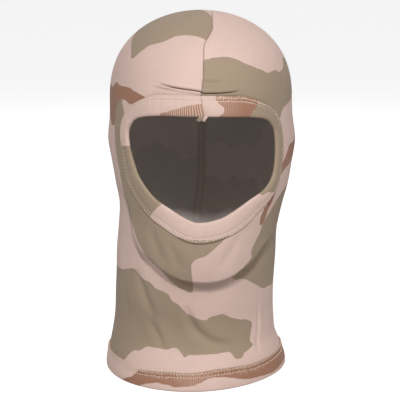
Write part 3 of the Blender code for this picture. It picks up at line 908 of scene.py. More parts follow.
def group_node(tree, name, inputs):
    """What a shared group gives for some inputs."""
    return add_node(tree, "ShaderNodeGroup", inputs, node_tree=shared_tree(name)).outputs


def dress(tree, shader, aged, height, strength, distance):
    """Gives the shader the aged colour and roughness, and a bump."""
    bump = add_node(tree, "ShaderNodeBump",
                    {"Strength": strength, "Distance": distance, "Height": height})
    for socket, value in (("Base Color", aged["Color"]), ("Roughness", aged["Roughness"]),
                          ("Normal", bump.outputs["Normal"])):
        tree.links.new(value, shader.inputs[socket])


def jersey_material(name, paleness=0.0, ribbed=False):
    """Printed jersey. paleness makes it the cloth's reverse, and ribbed a stretched band."""
    material, tree, shader = new_material(name)
    colours = bpy.context.scene.balaclava_print
    objects = tree.nodes.new("ShaderNodeTexCoord").outputs["Object"]
    uv = add_node(tree, "ShaderNodeUVMap", uv_map="Cloth").outputs["UV"]
    dye = group_node(tree, "Camouflage print", {
        "Coordinates": objects, "Olive Distance": attribute(tree, "olive"),
        "Brown Distance": attribute(tree, "brown"), "Base": (*colours.ground, 1.0),
        "Olive": (*colours.olive, 1.0), "Brown": (*colours.brown, 1.0), "Waviness": 1.6,
        "Edge Blur": 0.35})
    relief = group_node(tree, "Jersey knit", {"Coordinates": uv})["Height"]
    colour = dye["Color"]

    def tint(amount, shown, paint):
        """The colour so far, with a paint laid on it where it is shown."""
        return mix_colour(tree, math_node(tree, "MULTIPLY", amount, shown), colour, (*paint, 1.0))

    if ribbed:
        along_band = add_node(tree, "ShaderNodeSeparateXYZ", {"Vector": uv}).outputs["X"]
        wander = noise_value(tree, objects, 260.0)

        def wave(pitch, unevenness):
            """A wave along the band that wanders a little."""
            turns = math_node(tree, "MULTIPLY", along_band, 2 * math.pi / pitch)
            turns = math_node(tree, "MULTIPLY_ADD", wander, unevenness, turns)
            return math_node(tree, "SINE", turns)

        rib = math_node(tree, "MULTIPLY_ADD", wave(colours.rib_pitch, 1.6), 0.5, 0.5)
        rib = math_node(tree, "POWER", rib, 1.5)
        rib = math_node(tree, "MULTIPLY", rib, attribute(tree, "ribs"))
        colour = tint(rib, dye["Brown Mask"], colours.grin)
        relief = math_node(tree, "MULTIPLY_ADD", rib, -1.2, relief)
        dots = add_node(tree, "ShaderNodeTexVoronoi",
                        {"Vector": uv, "Scale": 1.0 / colours.speck_pitch})
        speck = math_node(tree, "SUBTRACT", 0.42, dots.outputs["Distance"])
        speck = math_node(tree, "MULTIPLY", speck, 5.0, clamp=True)
        colour = tint(speck, attribute(tree, "specks"), colours.grin)
        # Painted shade in dots along the needle rows, standing in for the shaded needle holes
        needle_hole_shade = math_node(tree, "MULTIPLY_ADD", wave(colours.needle_shade_pitch, 3.0), 0.22, 0.22)
        colour = tint(needle_hole_shade, attribute(tree, "needle"), colours.shade)
    else:
        # Painted shade darkens the cloth in its creases, along the crown and back seam and under
        # the chin
        colour = tint(attribute(tree, "crease"), 0.85, colours.shade)
    if paleness:
        colour = mix_colour(tree, paleness, colour, (*colours.reverse, 1.0))
    aged = group_node(tree, "Dye and pile", {"Coordinates": objects, "Color": colour,
                                             "Mottle": 0.05, "Fleck": 0.08})
    height = math_node(tree, "MULTIPLY_ADD", aged["Fuzz"], 0.8, relief)
    dress(tree, shader, aged, height, 0.35, 0.00008)
    shader.inputs["Specular IOR Level"].default_value = 0.18
    shader.inputs["Sheen Weight"].default_value = 0.08
    shader.inputs["Sheen Roughness"].default_value = 0.45
    return material


def thread_material(name):
    """Spun thread: a fine slanting twist and a slight gloss."""
    material, tree, shader = new_material(name)
    colour = bpy.context.scene.balaclava_print.thread
    objects = tree.nodes.new("ShaderNodeTexCoord").outputs["Object"]
    twist = add_node(tree, "ShaderNodeTexWave",
                     {"Vector": objects, "Scale": 900.0, "Distortion": 1.0},
                     bands_direction="DIAGONAL").outputs["Fac"]
    shade = mix_colour(tree, math_node(tree, "MULTIPLY", twist, 0.5), (*colour, 1.0),
                       (*[c * 0.8 for c in colour], 1.0))
    aged = group_node(tree, "Dye and pile", {"Coordinates": objects, "Color": shade})
    dress(tree, shader, aged, twist, 0.5, 0.00005)
    shader.inputs["Specular IOR Level"].default_value = 0.3
    return material


JERSEYS = {"Printed jersey": {}, "Jersey reverse": {"paleness": 0.72},
           "Ribbed band jersey": {"ribbed": True}}


def material(name):
    """A material by its name, made the first time it is asked for."""
    found = bpy.data.materials.get(name)
    if found:
        return found
    return jersey_material(name, **JERSEYS[name]) if name in JERSEYS else thread_material(name)


# Settings

class BalaclavaCut(bpy.types.PropertyGroup):
    """Sizes of the cloth and of the sewing."""

    jersey: FloatProperty(
        name="Jersey Thickness", description="Thickness of one layer of jersey with its pile",
        default=0.0008, min=0.0003, max=0.002, unit="LENGTH")
    band_jersey: FloatProperty(
        name="Band Thickness", description="Thickness of one layer of a folded band",
        default=0.0007, min=0.0003, max=0.002, unit="LENGTH")
    seam_width: FloatProperty(
        name="Seam Allowance", description="Width of the overlocked seam allowance inside",
        default=0.005, min=0.003, max=0.012, unit="LENGTH")
    setback: FloatProperty(
        name="Stitch Setback", description="From a band's edge to its first row of stitches",
        default=0.0012, min=0.0006, max=0.005, unit="LENGTH")
    row_spacing: FloatProperty(
        name="Needle Rows Apart", description="Distance between the two needle rows",
        default=0.0027, min=0.001, max=0.006, unit="LENGTH")
    stitch: FloatProperty(
        name="Stitch Length", description="From one stitch to the next",
        default=0.0027, min=0.001, max=0.005, unit="LENGTH")
    thread: FloatProperty(
        name="Thread Radius", description="Radius of the sewing thread",
        default=0.00040, min=0.0001, max=0.0006, unit="LENGTH")
    tail: FloatProperty(
        name="Tail Length", description="Length of the band's cut ends",
        default=0.0050, min=0.002, max=0.02, unit="LENGTH")


COLOUR = {"subtype": "COLOR", "size": 3, "min": 0.0, "max": 1.0}


class BalaclavaPrint(bpy.types.PropertyGroup):
    """Colours of the cloth and thread."""

    ground: FloatVectorProperty(
        name="Ground", description="Pinkish tan that the camouflage is printed on",
        **COLOUR, default=(0.70, 0.51, 0.445))
    olive: FloatVectorProperty(
        name="Olive", description="Khaki olive of the large patches",
        **COLOUR, default=(0.368, 0.277, 0.198))
    brown: FloatVectorProperty(
        name="Brown", description="Reddish brown of the small patches",
        **COLOUR, default=(0.36, 0.185, 0.12))
    reverse: FloatVectorProperty(
        name="Reverse", description="Undyed yarn that shows on the cloth's inner side",
        **COLOUR, default=(0.86, 0.83, 0.80))
    grin: FloatVectorProperty(
        name="Grin Through", description="Pale yarn that shows between stretched ribs",
        **COLOUR, default=(0.68, 0.49, 0.40))
    # Colour of the painted shade in needle holes, creases, the seam and under the chin
    shade: FloatVectorProperty(
        name="Shade", description="Cloth where a needle pierces it, and in a crease",
        **COLOUR, default=(0.16, 0.10, 0.065))
    thread: FloatVectorProperty(
        name="Thread", description="Sand-coloured sewing thread",
        **COLOUR, default=(0.80, 0.65, 0.54))
    rib_pitch: FloatProperty(
        name="Rib Pitch", description="Distance between the ribs of a stretched band",
        default=0.0015, min=0.0005, max=0.004, unit="LENGTH")
    speck_pitch: FloatProperty(
        name="Speck Pitch", description="Distance between pale specks of yarn by the needle rows",
        default=0.0016, min=0.0005, max=0.005, unit="LENGTH")
    # Pitch of the painted shade dots along the needle rows
    needle_shade_pitch: FloatProperty(
        name="Needle Mark Pitch", description="Distance between the darkest marks of the needles",
        default=0.0021, min=0.0005, max=0.005, unit="LENGTH")


class BalaclavaStage(bpy.types.PropertyGroup):
    """Camera and studio light."""

    elevation: FloatProperty(
        name="Camera Elevation", description="How far the camera looks down",
        default=math.radians(10.0), subtype="ANGLE")
    distance: FloatProperty(
        name="Camera Distance", description="From the camera to the hood",
        default=1.10, min=0.3, max=5.0, unit="LENGTH")
    lens: FloatProperty(
        name="Lens", description="Focal length in millimetres on a 36 mm sensor",
        default=118.8, min=20.0, max=300.0)
    key_power: FloatProperty(
        name="Key Light", description="Power of the key light in watts",
        default=12.0, min=0.0, max=500.0)
    fill_power: FloatProperty(
        name="Fill Light", description="Power in watts of the large fill on the wearer's left",
        default=3.9, min=0.0, max=500.0)
    room: FloatProperty(
        name="Room Light", description="Strength of the even white light all round",
        default=0.30, min=0.0, max=3.0)


def finish_piece(obj, nodes):
    """Hooks a finished piece to the frame's root body, and hides the CAD nodes it stands for."""
    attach(obj, "root")
    if nodes:
        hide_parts(*nodes)


def print_marks(places, olive, brown):
    """Distances to the print's outlines at places on the unrolled cloth."""
    mm = in_mm(places)
    return {"olive": signed_distance(mm, olive), "brown": signed_distance(mm, brown)}


# Pieces

class BALACLAVA_OT_side_panels(bpy.types.Operator):
    """Make the hood's two side panels, with their folds and print"""

    bl_idname = "balaclava.side_panels"
    bl_label = "Side Panels"

    def execute(self, context):
        columns, rows = divided(COLUMN_CUTS), divided(ROW_CUTS)
        shapes = {side: self.shape(columns, rows, side) for side in (1, -1)}
        front = (rows <= HOLE_ROWS[0]) | (rows >= HOLE_ROWS[1])
        for column, meeting in ((0, front), (-1, rows >= 0)):
            shared = 0.5 * sum(points[column, meeting] for points, _, _ in shapes.values())
            for points, _, _ in shapes.values():
                points[column, meeting] = shared
        for name, side in (("left_side_panel", 1), ("right_side_panel", -1)):
            self.panel(context, name, side, columns, rows, *shapes[side])
        return {"FINISHED"}

    def shape(self, columns, rows, side):
        """Points of a panel, their places on the unrolled cloth, and the painted shade of its
        creases, seam and chin.
        """
        turn, share = (between(grid, columns, rows) for grid in panel_layout(side))
        smooth, places = cloth(turn, height_of(share))
        out = self.normals(smooth, side)
        lift, sag, crease = folds(np.radians(places[..., 0]), smooth[..., 2])
        apart = self.distance_to_bands(smooth, side)
        clear = ease(*BAND_CLEAR, apart)
        lift = lift * clear - hollow(apart, *BAND_HOLLOW)
        points = smooth + out * lift[..., None]
        upright = np.clip(1.0 - np.abs(out[..., 2]), 0.0, 1.0)
        points[..., 2] += upright * sag * clear
        seam = self.to_seam(rows, smooth)
        points -= out * hollow(seam, *SEAM_HOLLOW)[..., None]
        # The cloth just below the fold under the chin, which the face above shelters
        degrees = places[..., 0]
        below = smooth[..., 2] - along(CHIN_FOLD, 1, degrees)
        reach = along(CHIN_SHADOW_REACH, 1, degrees)
        chin_shadow_band = ease(-reach - 0.0006, -reach + 0.0006, below) * ease(0.0008, -0.0004, below)
        painted_chin_shadow = CHIN_SHADOW_STRENGTH * chin_shadow_band * ease(0.0, 0.002, reach)
        # Painted shade along the crown and back seam, taken with that of the creases
        crease = np.maximum(crease * clear, hollow(seam, *SEAM_SHADE))
        return points, places, np.maximum(crease, painted_chin_shadow)

    def panel(self, context, name, side, columns, rows, points, places, crease):
        """One panel as an object, printed and thickened."""
        olive = OLIVE_BOTH + (OLIVE_LEFT if side > 0 else OLIVE_RIGHT)
        marks = print_marks(places, olive, BROWN_LEFT if side > 0 else BROWN_RIGHT)
        # Painted shade of the creases, the crown and back seam and the chin's shadow
        marks["crease"] = crease
        # The cells of the opening are left out
        i, j = np.meshgrid(0.5 * (columns[1:] + columns[:-1]), 0.5 * (rows[1:] + rows[:-1]),
                           indexing="ij")
        keep = ~((i < HOLE_COLUMNS) & (j > HOLE_ROWS[0]) & (j < HOLE_ROWS[1]))
        uv = in_mm(places) * 0.001
        if side < 0:
            points, uv, keep = points[:, ::-1], uv[:, ::-1], keep[:, ::-1]
            marks = {key: values[:, ::-1] for key, values in marks.items()}
        obj = grid_object(name, points, uv, marks, keep)
        thicken(obj, context.scene.balaclava_cut.jersey,
                (material("Printed jersey"), material("Jersey reverse")))
        finish_piece(obj, ["left_panel" if side > 0 else "right_panel"])

    def normals(self, points, side):
        """Outward directions of a panel's grid; straight up at the crown, where it closes."""
        out = np.cross(np.gradient(points, axis=0), np.gradient(points, axis=1)) * side
        size = np.linalg.norm(out, axis=-1, keepdims=True)
        out = np.where(size > 1e-12, out / np.maximum(size, 1e-12), UP)
        out[:, -1] = UP
        return out

    def to_seam(self, rows, points):
        """Distance across the cloth to the crown and back seam; large along the front neck."""
        front = np.linalg.norm(points - points[:1], axis=-1)
        back = np.linalg.norm(points - points[-1:], axis=-1)
        front[:, rows < HOLE_ROWS[1]] = 1.0
        return np.minimum(front, back)

    def distance_to_bands(self, points, side):
        """Distance to the outer edge of the face band or the top of the hem band."""
        edge = band_line(FACE_BAND_WIDTH)
        near = edge[np.sign(edge[:, 0] + 1e-9) * side > 0]
        parts = np.array_split(points.reshape(-1, 3), 40)
        best = [np.sqrt(((part[:, None] - near) ** 2).sum(-1)).min(1) for part in parts]
        best = np.concatenate(best).reshape(points.shape[:-1])
        hem = points[..., 2] - along(HEM_TOP, 1, np.degrees(turn_of(points)))
        return np.minimum(best, np.abs(hem))


def band_runs(count=210):
    """The opening's edge all round from the join to the join, as x, z and outward x, z."""
    halves = []
    for side in (-1, 1):
        edge = spaced(rounded(np.array(OPENING[side])), count) * (side, 1)
        halves.append(np.hstack([edge, outward(side, edge)]))
    right, left = halves
    return np.vstack([right[::-1], left[1:]])


def band_line(distance, lift=0.0):
    """Points all round the opening at a distance from its edge, lifted off the panels."""
    run = band_runs()
    flat = run[:, :2] + distance * run[:, 2:]
    turn = turn_at(flat[:, 0], flat[:, 1])
    return surface(turn, flat[:, 1]) + np.reshape(lift, (-1, 1)) * normal(turn, flat[:, 1])


class BALACLAVA_OT_face_band(bpy.types.Operator):
    """Make the folded band that binds the face opening"""

    bl_idname = "balaclava.face_band"
    bl_label = "Face Band"

    def execute(self, context):
        cut = context.scene.balaclava_cut
        run = band_runs()
        length = run_length(run[:, :2])
        from_join = np.minimum(length, length[-1] - length)
        profile = band_profile(cut, FACE_BAND_WIDTH)
        rows = []
        for distance, lift in profile:
            flat = run[:, :2] + distance * run[:, 2:]
            flat[:, 0] += slant_at(distance) * ease(0.010, 0.0, from_join)
            z = flat[:, 1]
            turn = turn_at(flat[:, 0], z)
            rise = lift + (ripple(length, distance) if lift > 0 else 0.0)
            rise = rise - hollow(from_join, JOIN_DIP, 0.0008)
            point = surface(turn, z) + rise[:, None] * normal(turn, z)
            rows.append((point, unrolled(turn, z)))
        points, places = (np.array(grid) for grid in zip(*rows))
        right = np.arange(len(run)) < len(run) // 2
        marks = print_marks(places, BAND_OLIVE, BAND_BROWN_RIGHT)
        other = signed_distance(in_mm(places), BAND_BROWN_LEFT)
        marks["brown"] = np.where(right, marks["brown"], other)
        degrees, up = places[..., 0], places[..., 1]
        brow = ease(200, 212, up)
        # The band is stretched most over the brow: there its ribs open and pale yarn shows
        marks["ribs"] = brow * ease(28, 14, np.abs(degrees)) * np.where(right, 1.0, 0.5)
        marks["specks"] = brow * ease(2, 6, degrees) * ease(0.0095, 0.0125, profile[:, :1])
        # Painted shade along the needle rows
        marks["needle"] = needle_row_shade(cut, profile, FACE_BAND_WIDTH, points.shape)
        uv = band_uv(length, run_length(profile))
        obj = grid_object("face_opening_band", points, uv, marks)
        thicken(obj, cut.band_jersey, (material("Ribbed band jersey"),) * 2)
        finish_piece(obj, ["face_band"])
        return {"FINISHED"}


def slant_at(distance):
    """x of the face band's join at a distance from the opening's edge."""
    return np.interp(distance, (0.0, FACE_BAND_WIDTH), JOIN_SLANT)


def ripple(length, distance):
    """The face band's waviness, at distances along the opening and from its edge.

    Small puckers fade towards both edges, and a slow wave runs all across the band.
    """
    share = min(max(distance / FACE_BAND_WIDTH, 0.0), 1.0)
    puckers = 0.00012 * np.sin(2 * math.pi * length / 0.0052) * math.sin(math.pi * share)
    return puckers + 0.00022 * np.sin(2 * math.pi * length / 0.031 + 1.3)


def outer_lift(cut, width, distance):
    """Lift of a folded band's outer layer at a distance from its fold."""
    outer = band_profile(cut, width)[:OUTER_POINTS]
    return np.interp(distance, outer[::-1, 0], outer[::-1, 1])


def band_profile(cut, width):
    """A folded band's section as distance from its fold and lift: outer layer, fold, inner."""
    top = cut.band_jersey + 0.00005
    low = -cut.jersey - 0.0001
    radius = 0.5 * (top - low)
    first, second = width - cut.setback, width - cut.setback - cut.row_spacing
    outer = np.concatenate([np.linspace(width, second - 0.0012, 16),
                            np.linspace(second - 0.0012, radius, 14)[1:]])
    inside = np.linspace(radius, width, 12)[1:]
    bend = np.linspace(0, math.pi, 9)[1:-1]

    def lift(d):
        puff = 0.00055 * np.sin(math.pi * np.clip(d / second, 0, 1)) ** 0.8
        rows = sum(hollow(d - r, GROOVE, 0.0005) for r in (first, second))
        return top + puff * (d < second) - rows - EDGE_DIP * ease(width - 0.0007, width, d)

    return np.vstack([
        np.stack([outer, lift(outer)], -1),
        np.stack([radius - radius * np.sin(bend), low + radius * (1 + np.cos(bend))], -1),
        np.stack([inside, np.full_like(inside, low)], -1)])


class BALACLAVA_OT_hem_band(bpy.types.Operator):
    """Make the folded band along the hem, on which the hood stands"""

    bl_idname = "balaclava.hem_band"
    bl_label = "Hem Band"

    def execute(self, context):
        cut = context.scene.balaclava_cut
        degrees = np.degrees(HEM_TURNS)
        top = along(HEM_TOP, 1, degrees)
        profile = band_profile(cut, HEM_DEPTH)
        rows, places = [], []
        for distance, lift in profile:
            z = distance / HEM_DEPTH * top
            base = surface(HEM_TURNS, np.maximum(z, 0.0012))
            out = level(normal(HEM_TURNS, np.maximum(z, 0.003)))
            roll = 0.0003 * np.sin(5 * HEM_TURNS + 0.7) * ease(HEM_DEPTH, 0.0, z)
            point = base + (lift + roll)[:, None] * out
            point[:, 2] = np.maximum(z, 0.0)
            rows.append(point)
            shown = z * 1000 if lift > 0 else -z * 1000
            places.append(np.stack([degrees, shown], -1))
        points, places = np.array(rows), np.array(places)
        points[:, 0, 0] += HEM_LAP
        points[:, -1, 0] -= HEM_LAP
        marks = print_marks(places, HEM_OLIVE, HEM_BROWN)
        marks["ribs"] = hollow(places[..., 0] + 2.0, 0.55, 9.0)
        stretch = ease(-42, -28, places[..., 0]) * ease(56, 40, places[..., 0])
        marks["specks"] = 0.75 * stretch * ease(0.0085, 0.0100, profile[:, :1])
        # Painted shade along the needle rows, weaker on the hem
        marks["needle"] = 0.6 * needle_row_shade(cut, profile, HEM_DEPTH, points.shape)
        uv = band_uv(HEM_TURNS * HEM_RADIUS, run_length(profile))
        obj = grid_object("neck_hem_band", points, uv, marks)
        thicken(obj, cut.band_jersey, (material("Ribbed band jersey"),) * 2)
        finish_piece(obj, ["hem_band"])
        return {"FINISHED"}


def band_uv(length, across):
    """A map in metres of a band laid flat."""
    return np.stack(np.broadcast_arrays(length[None, :], across[:, None]), -1)


def needle_row_shade(cut, profile, width, shape):
    """Painted shade along the two needle rows of a folded band's outer layer: 1 on them, 0 away
    from them.
    """
    distance = profile[:, 0]
    marks = sum(hollow(distance - width + setback, 1.0, 0.00045)
                for setback in (cut.setback, cut.setback + cut.row_spacing))
    marks = marks * (profile[:, 1] > 0)
    return np.broadcast_to(marks[:, None], shape[:2])


def stations(total, pitch, gathered):
    """Distances along a run at which stitches sit, closer together where it is gathered."""
    places, at = [], 0.5 * pitch
    while at < total:
        places.append(at)
        at += pitch * gathered(at, total)
    return np.array(places)


def sample(line, at):
    """Points at given distances along a line, and directions there."""
    length = run_length(line)
    point = np.stack([np.interp(at, length, c) for c in line.T], -1)
    ahead = np.stack([np.interp(at + 0.0004, length, c) for c in line.T], -1)
    behind = np.stack([np.interp(at - 0.0004, length, c) for c in line.T], -1)
    return point, unit(ahead - behind)


def near_join(s, total):
    """How close together the face band's stitches sit: closest at the join."""
    return 0.62 + 0.38 * ease(0.030, 0.060, min(s, total - s))


def inside_depth(cut):
    """Lift of a looper thread's middle, under a panel and the band's inner layer."""
    return -cut.jersey - cut.band_jersey - 0.0001 - cut.thread


class BALACLAVA_OT_needle_rows(bpy.types.Operator):
    """Sew the bands on: two needle rows outside and a looper thread inside, on each band"""

    bl_idname = "balaclava.needle_rows"
    bl_label = "Needle Rows"

    def execute(self, context):
        cut = context.scene.balaclava_cut
        length = run_length(band_runs()[:, :2])
        setbacks = (cut.setback, cut.setback + cut.row_spacing)
        for name, node, setback in zip(("face_band_outer_stitches", "face_band_inner_stitches"),
                                       ("face_outer_row", "face_inner_row"), setbacks):
            d = FACE_BAND_WIDTH - setback
            lift = outer_lift(cut, FACE_BAND_WIDTH, d) + FACE_ROW_LIFT + ripple(length, d)
            self.row(cut, name, node, band_line(d, lift), near_join)
        for name, node, setback in zip(("hem_upper_stitches", "hem_lower_stitches"),
                                       ("hem_upper_row", "hem_lower_row"), setbacks):
            self.row(cut, name, node, self.hem_line(cut, setback), lambda s, total: HEM_GATHER)
        self.edge_thread(cut)
        self.looper(cut, "face_band_looper_thread", "face_looper_thread", *self.face_inside(cut))
        self.looper(cut, "hem_looper_thread_inside", "hem_looper_thread", *self.hem_inside(cut))
        return {"FINISHED"}

    def hem_line(self, cut, setback):
        """Points round the hem band at a distance below its upper edge."""
        z = along(HEM_TOP, 1, np.degrees(HEM_TURNS)) * (1 - setback / HEM_DEPTH)
        lift = outer_lift(cut, HEM_DEPTH, HEM_DEPTH - setback) + HEM_ROW_LIFT
        return surface(HEM_TURNS, z) + lift * level(normal(HEM_TURNS, z))

    def row(self, cut, name, node, line, gathered):
        """Stitches along a line, closer together where it is gathered."""
        total = np.linalg.norm(np.diff(line, axis=0), axis=1).sum()
        at = stations(total, cut.stitch, gathered)
        points, direction = sample(line, at)
        obj = path_object(name, points, {"along": direction})
        sew(obj, "Row of stitches", stitch_length=STITCH_SHARE * cut.stitch,
            thread_radius=cut.thread)
        finish_piece(obj, [node])

    def edge_thread(self, cut):
        """The overlock loops that show along the hem band's upper edge."""
        line = self.hem_line(cut, 0.0002)
        obj = path_object("hem_edge_loops", line, {"across": repeated(UP, line)})
        sew(obj, "Zigzag thread", step=0.0010, width=0.0013, thread_radius=0.55 * cut.thread)
        finish_piece(obj, [])

    def looper(self, cut, name, node, line, across):
        """A looper thread that runs to and fro between the two needle rows."""
        obj = path_object(name, line, {"across": across})
        sew(obj, "Zigzag thread", step=0.5 * cut.stitch, width=cut.row_spacing,
            thread_radius=0.8 * cut.thread)
        finish_piece(obj, [node])

    def face_inside(self, cut):
        """The looper thread's line behind the face band, and directions across it."""
        d = FACE_BAND_WIDTH - cut.setback - 0.5 * cut.row_spacing
        depth = inside_depth(cut)
        line = band_line(d, depth)
        return line, unit(band_line(d + 0.001, depth) - line)

    def hem_inside(self, cut):
        """The same behind the hem band."""
        z = HEM_DEPTH - cut.setback - 0.5 * cut.row_spacing
        out = normal(HEM_TURNS, np.full_like(HEM_TURNS, z))
        return surface(HEM_TURNS, z) + inside_depth(cut) * out, repeated(UP, out)


def heights(shares, at):
    """Heights at even stations from 0 to 1 along a run of a panel's rows."""
    return height_of(np.interp(at, np.linspace(0, 1, len(shares)), shares))


class BALACLAVA_OT_seams(bpy.types.Operator):
    """Make the overlocked seam allowances inside, over the crown to the back and under the chin"""

    bl_idname = "balaclava.seams"
    bl_label = "Seam Allowances"

    def execute(self, context):
        cut = context.scene.balaclava_cut
        share = panel_layout(1)[1]
        low, high = HOLE_ROWS
        front = heights(share[0, high:], np.linspace(0, 1, 90))
        rear = heights(share[-1], np.linspace(0, 1, 90)[1:-1])[::-1]
        turn = np.concatenate([np.zeros(len(front)), np.full(len(rear), math.pi)])
        self.allowance(cut, "crown_and_back_seam", "crown_back_seam", turn,
                       np.concatenate([front, rear]))
        chin = heights(share[0, :low + 1], np.linspace(0.06, 0.97, 90))
        self.allowance(cut, "chin_and_neck_seam", "chin_neck_seam", np.zeros(len(chin)), chin)
        return {"FINISHED"}

    def allowance(self, cut, name, node, turn, z):
        """A flattened roll of cloth edge wrapped in overlock thread, made as one piece."""
        base, places = cloth(turn, z)
        run = np.gradient(base, axis=0)
        run[:, 0] = 0.0
        inward = unit(np.cross(run, (1.0, 0.0, 0.0)))
        lift = folds(np.radians(places[:, 0]), base[:, 2])[0]
        base += inward * (0.0003 - np.minimum(lift, 0.0))[:, None]
        centre = base + (cut.jersey + 0.0009) * inward
        length = run_length(base)
        angle = np.linspace(0, 2 * math.pi, 15)
        half = 0.5 * cut.seam_width
        rows = []
        for a in angle:
            x = half * math.copysign(abs(math.cos(a)) ** 0.6, math.cos(a))
            rows.append(centre + inward * ROLL_THICKNESS * math.sin(a) + np.array((x, 0, 0))
                        * (1 + 0.04 * np.sin(length / 0.0021))[:, None])
        points = np.array(rows)
        ends = points.mean(axis=0, keepdims=True)
        points = np.concatenate([np.repeat(ends[:, :1], len(rows), 0), points,
                                 np.repeat(ends[:, -1:], len(rows), 0)], axis=1)
        length = np.concatenate([length[:1], length, length[-1:]])
        marks = {mark: np.full(points.shape[:2], UNPRINTED) for mark in ("olive", "brown")}
        obj = grid_object(name, points, band_uv(length, angle * 0.001), marks)
        obj.data.materials.append(material("Jersey reverse"))
        fix_normals(obj)
        finish_piece(obj, [node])
        thread = path_object(name + "_overlock", centre + inward * ROLL_THICKNESS,
                             {"across": repeated((1.0, 0.0, 0.0), centre)})
        sew(thread, "Zigzag thread", step=0.0011, width=cut.seam_width * 0.98,
            thread_radius=0.9 * cut.thread)
        finish_piece(thread, [])


def fix_normals(obj):
    """Closes a piece whose grid wraps round on itself, and turns its faces outwards."""
    bm = bmesh.new()
    bm.from_mesh(obj.data)
    bmesh.ops.remove_doubles(bm, verts=bm.verts, dist=1e-6)
    bmesh.ops.recalc_face_normals(bm, faces=bm.faces)
    bm.to_mesh(obj.data)
    bm.free()


class BALACLAVA_OT_band_join(bpy.types.Operator):
    """Close the face band at the brow and leave its two cut ends hanging"""

    bl_idname = "balaclava.band_join"
    bl_label = "Face Band Join"

    def execute(self, context):
        cut = context.scene.balaclava_cut
        self.ladder(cut)
        self.tail(cut, "band_cut_end_left", "band_end_left",
                  hinge=0.0052, tip=0.0020, forward=0.0, olive=-8.0)
        self.tail(cut, "band_cut_end_right", "band_end_right",
                  hinge=0.0020, tip=-0.0014, forward=-0.0006, olive=8.0)
        return {"FINISHED"}

    def ladder(self, cut):
        """The close zigzag that holds the band's two ends together."""
        z = np.linspace(BROW + 0.0006, BROW + FACE_BAND_WIDTH - 0.0005, 40)
        x = slant_at(z - BROW)
        turn = turn_at(x, z)
        line = surface(turn, z) + (cut.band_jersey + 0.0004) * normal(turn, z)
        obj = path_object("face_band_join_stitches", line,
                          {"across": repeated((0.97, 0.0, 0.22), line)})
        sew(obj, "Zigzag thread", step=0.0008, width=0.0022, thread_radius=0.00022)
        finish_piece(obj, ["face_band_join"])

    def tail(self, cut, name, node, hinge, tip, forward, olive):
        """A square-cut end of folded band hanging from the join, a little curled.

        hinge and tip are the x of its upper and lower ends, and olive says which colour it has.
        """
        top = BROW + 0.0010
        t, s = np.meshgrid(np.linspace(0, 1, 15), np.linspace(-1, 1, 9), indexing="ij")
        x = hinge + (tip - hinge) * t + s * 0.5 * TAIL_WIDTH
        z = top - cut.tail * t - 0.0006 * s * t
        front = surface(turn_at(hinge, top), top)[1] - cut.band_jersey
        y = front + forward - 0.0006 * np.sin(math.pi * t) + 0.0005 * s * s * t + 0.0008 * t * t
        points = np.stack([x, y, z], -1)
        plain = np.zeros_like(t)
        marks = {"olive": plain + olive, "brown": plain + UNPRINTED, "ribs": plain,
                 "needle": plain, "specks": plain}
        uv = np.stack([s * 0.0015, t * cut.tail], -1)
        obj = grid_object(name, points, uv, marks)
        thicken(obj, cut.band_jersey, (material("Ribbed band jersey"),) * 2)
        finish_piece(obj, [node])


class BALACLAVA_OT_cloth_facts(bpy.types.Operator):
    """A last step, which does nothing"""

    bl_idname = "balaclava.cloth_facts"
    bl_label = "Cloth Facts"

    def execute(self, context):
        return {"FINISHED"}


MIDDLE = Vector((0.0, 0.0, 0.1475))      # what the lamps point at
CAMERA_AIM = Vector((0.0, 0.0, 0.1390))
FLOOR = 60.0                             # half the floor's width
# Name, azimuth and elevation in degrees, distance, size, power's setting and share of it
LAMPS = (("Key light", -3.0, 36.0, 1.5, 0.14, "key_power", 1.0),
         ("Left fill", 50.0, 38.0, 1.4, 0.8, "fill_power", 1.0),
         ("Right fill", -48.0, 38.0, 1.4, 0.8, "fill_power", 0.36),
         ("Back light", 180.0, 40.0, 1.8, 1.0, "fill_power", 1.6))


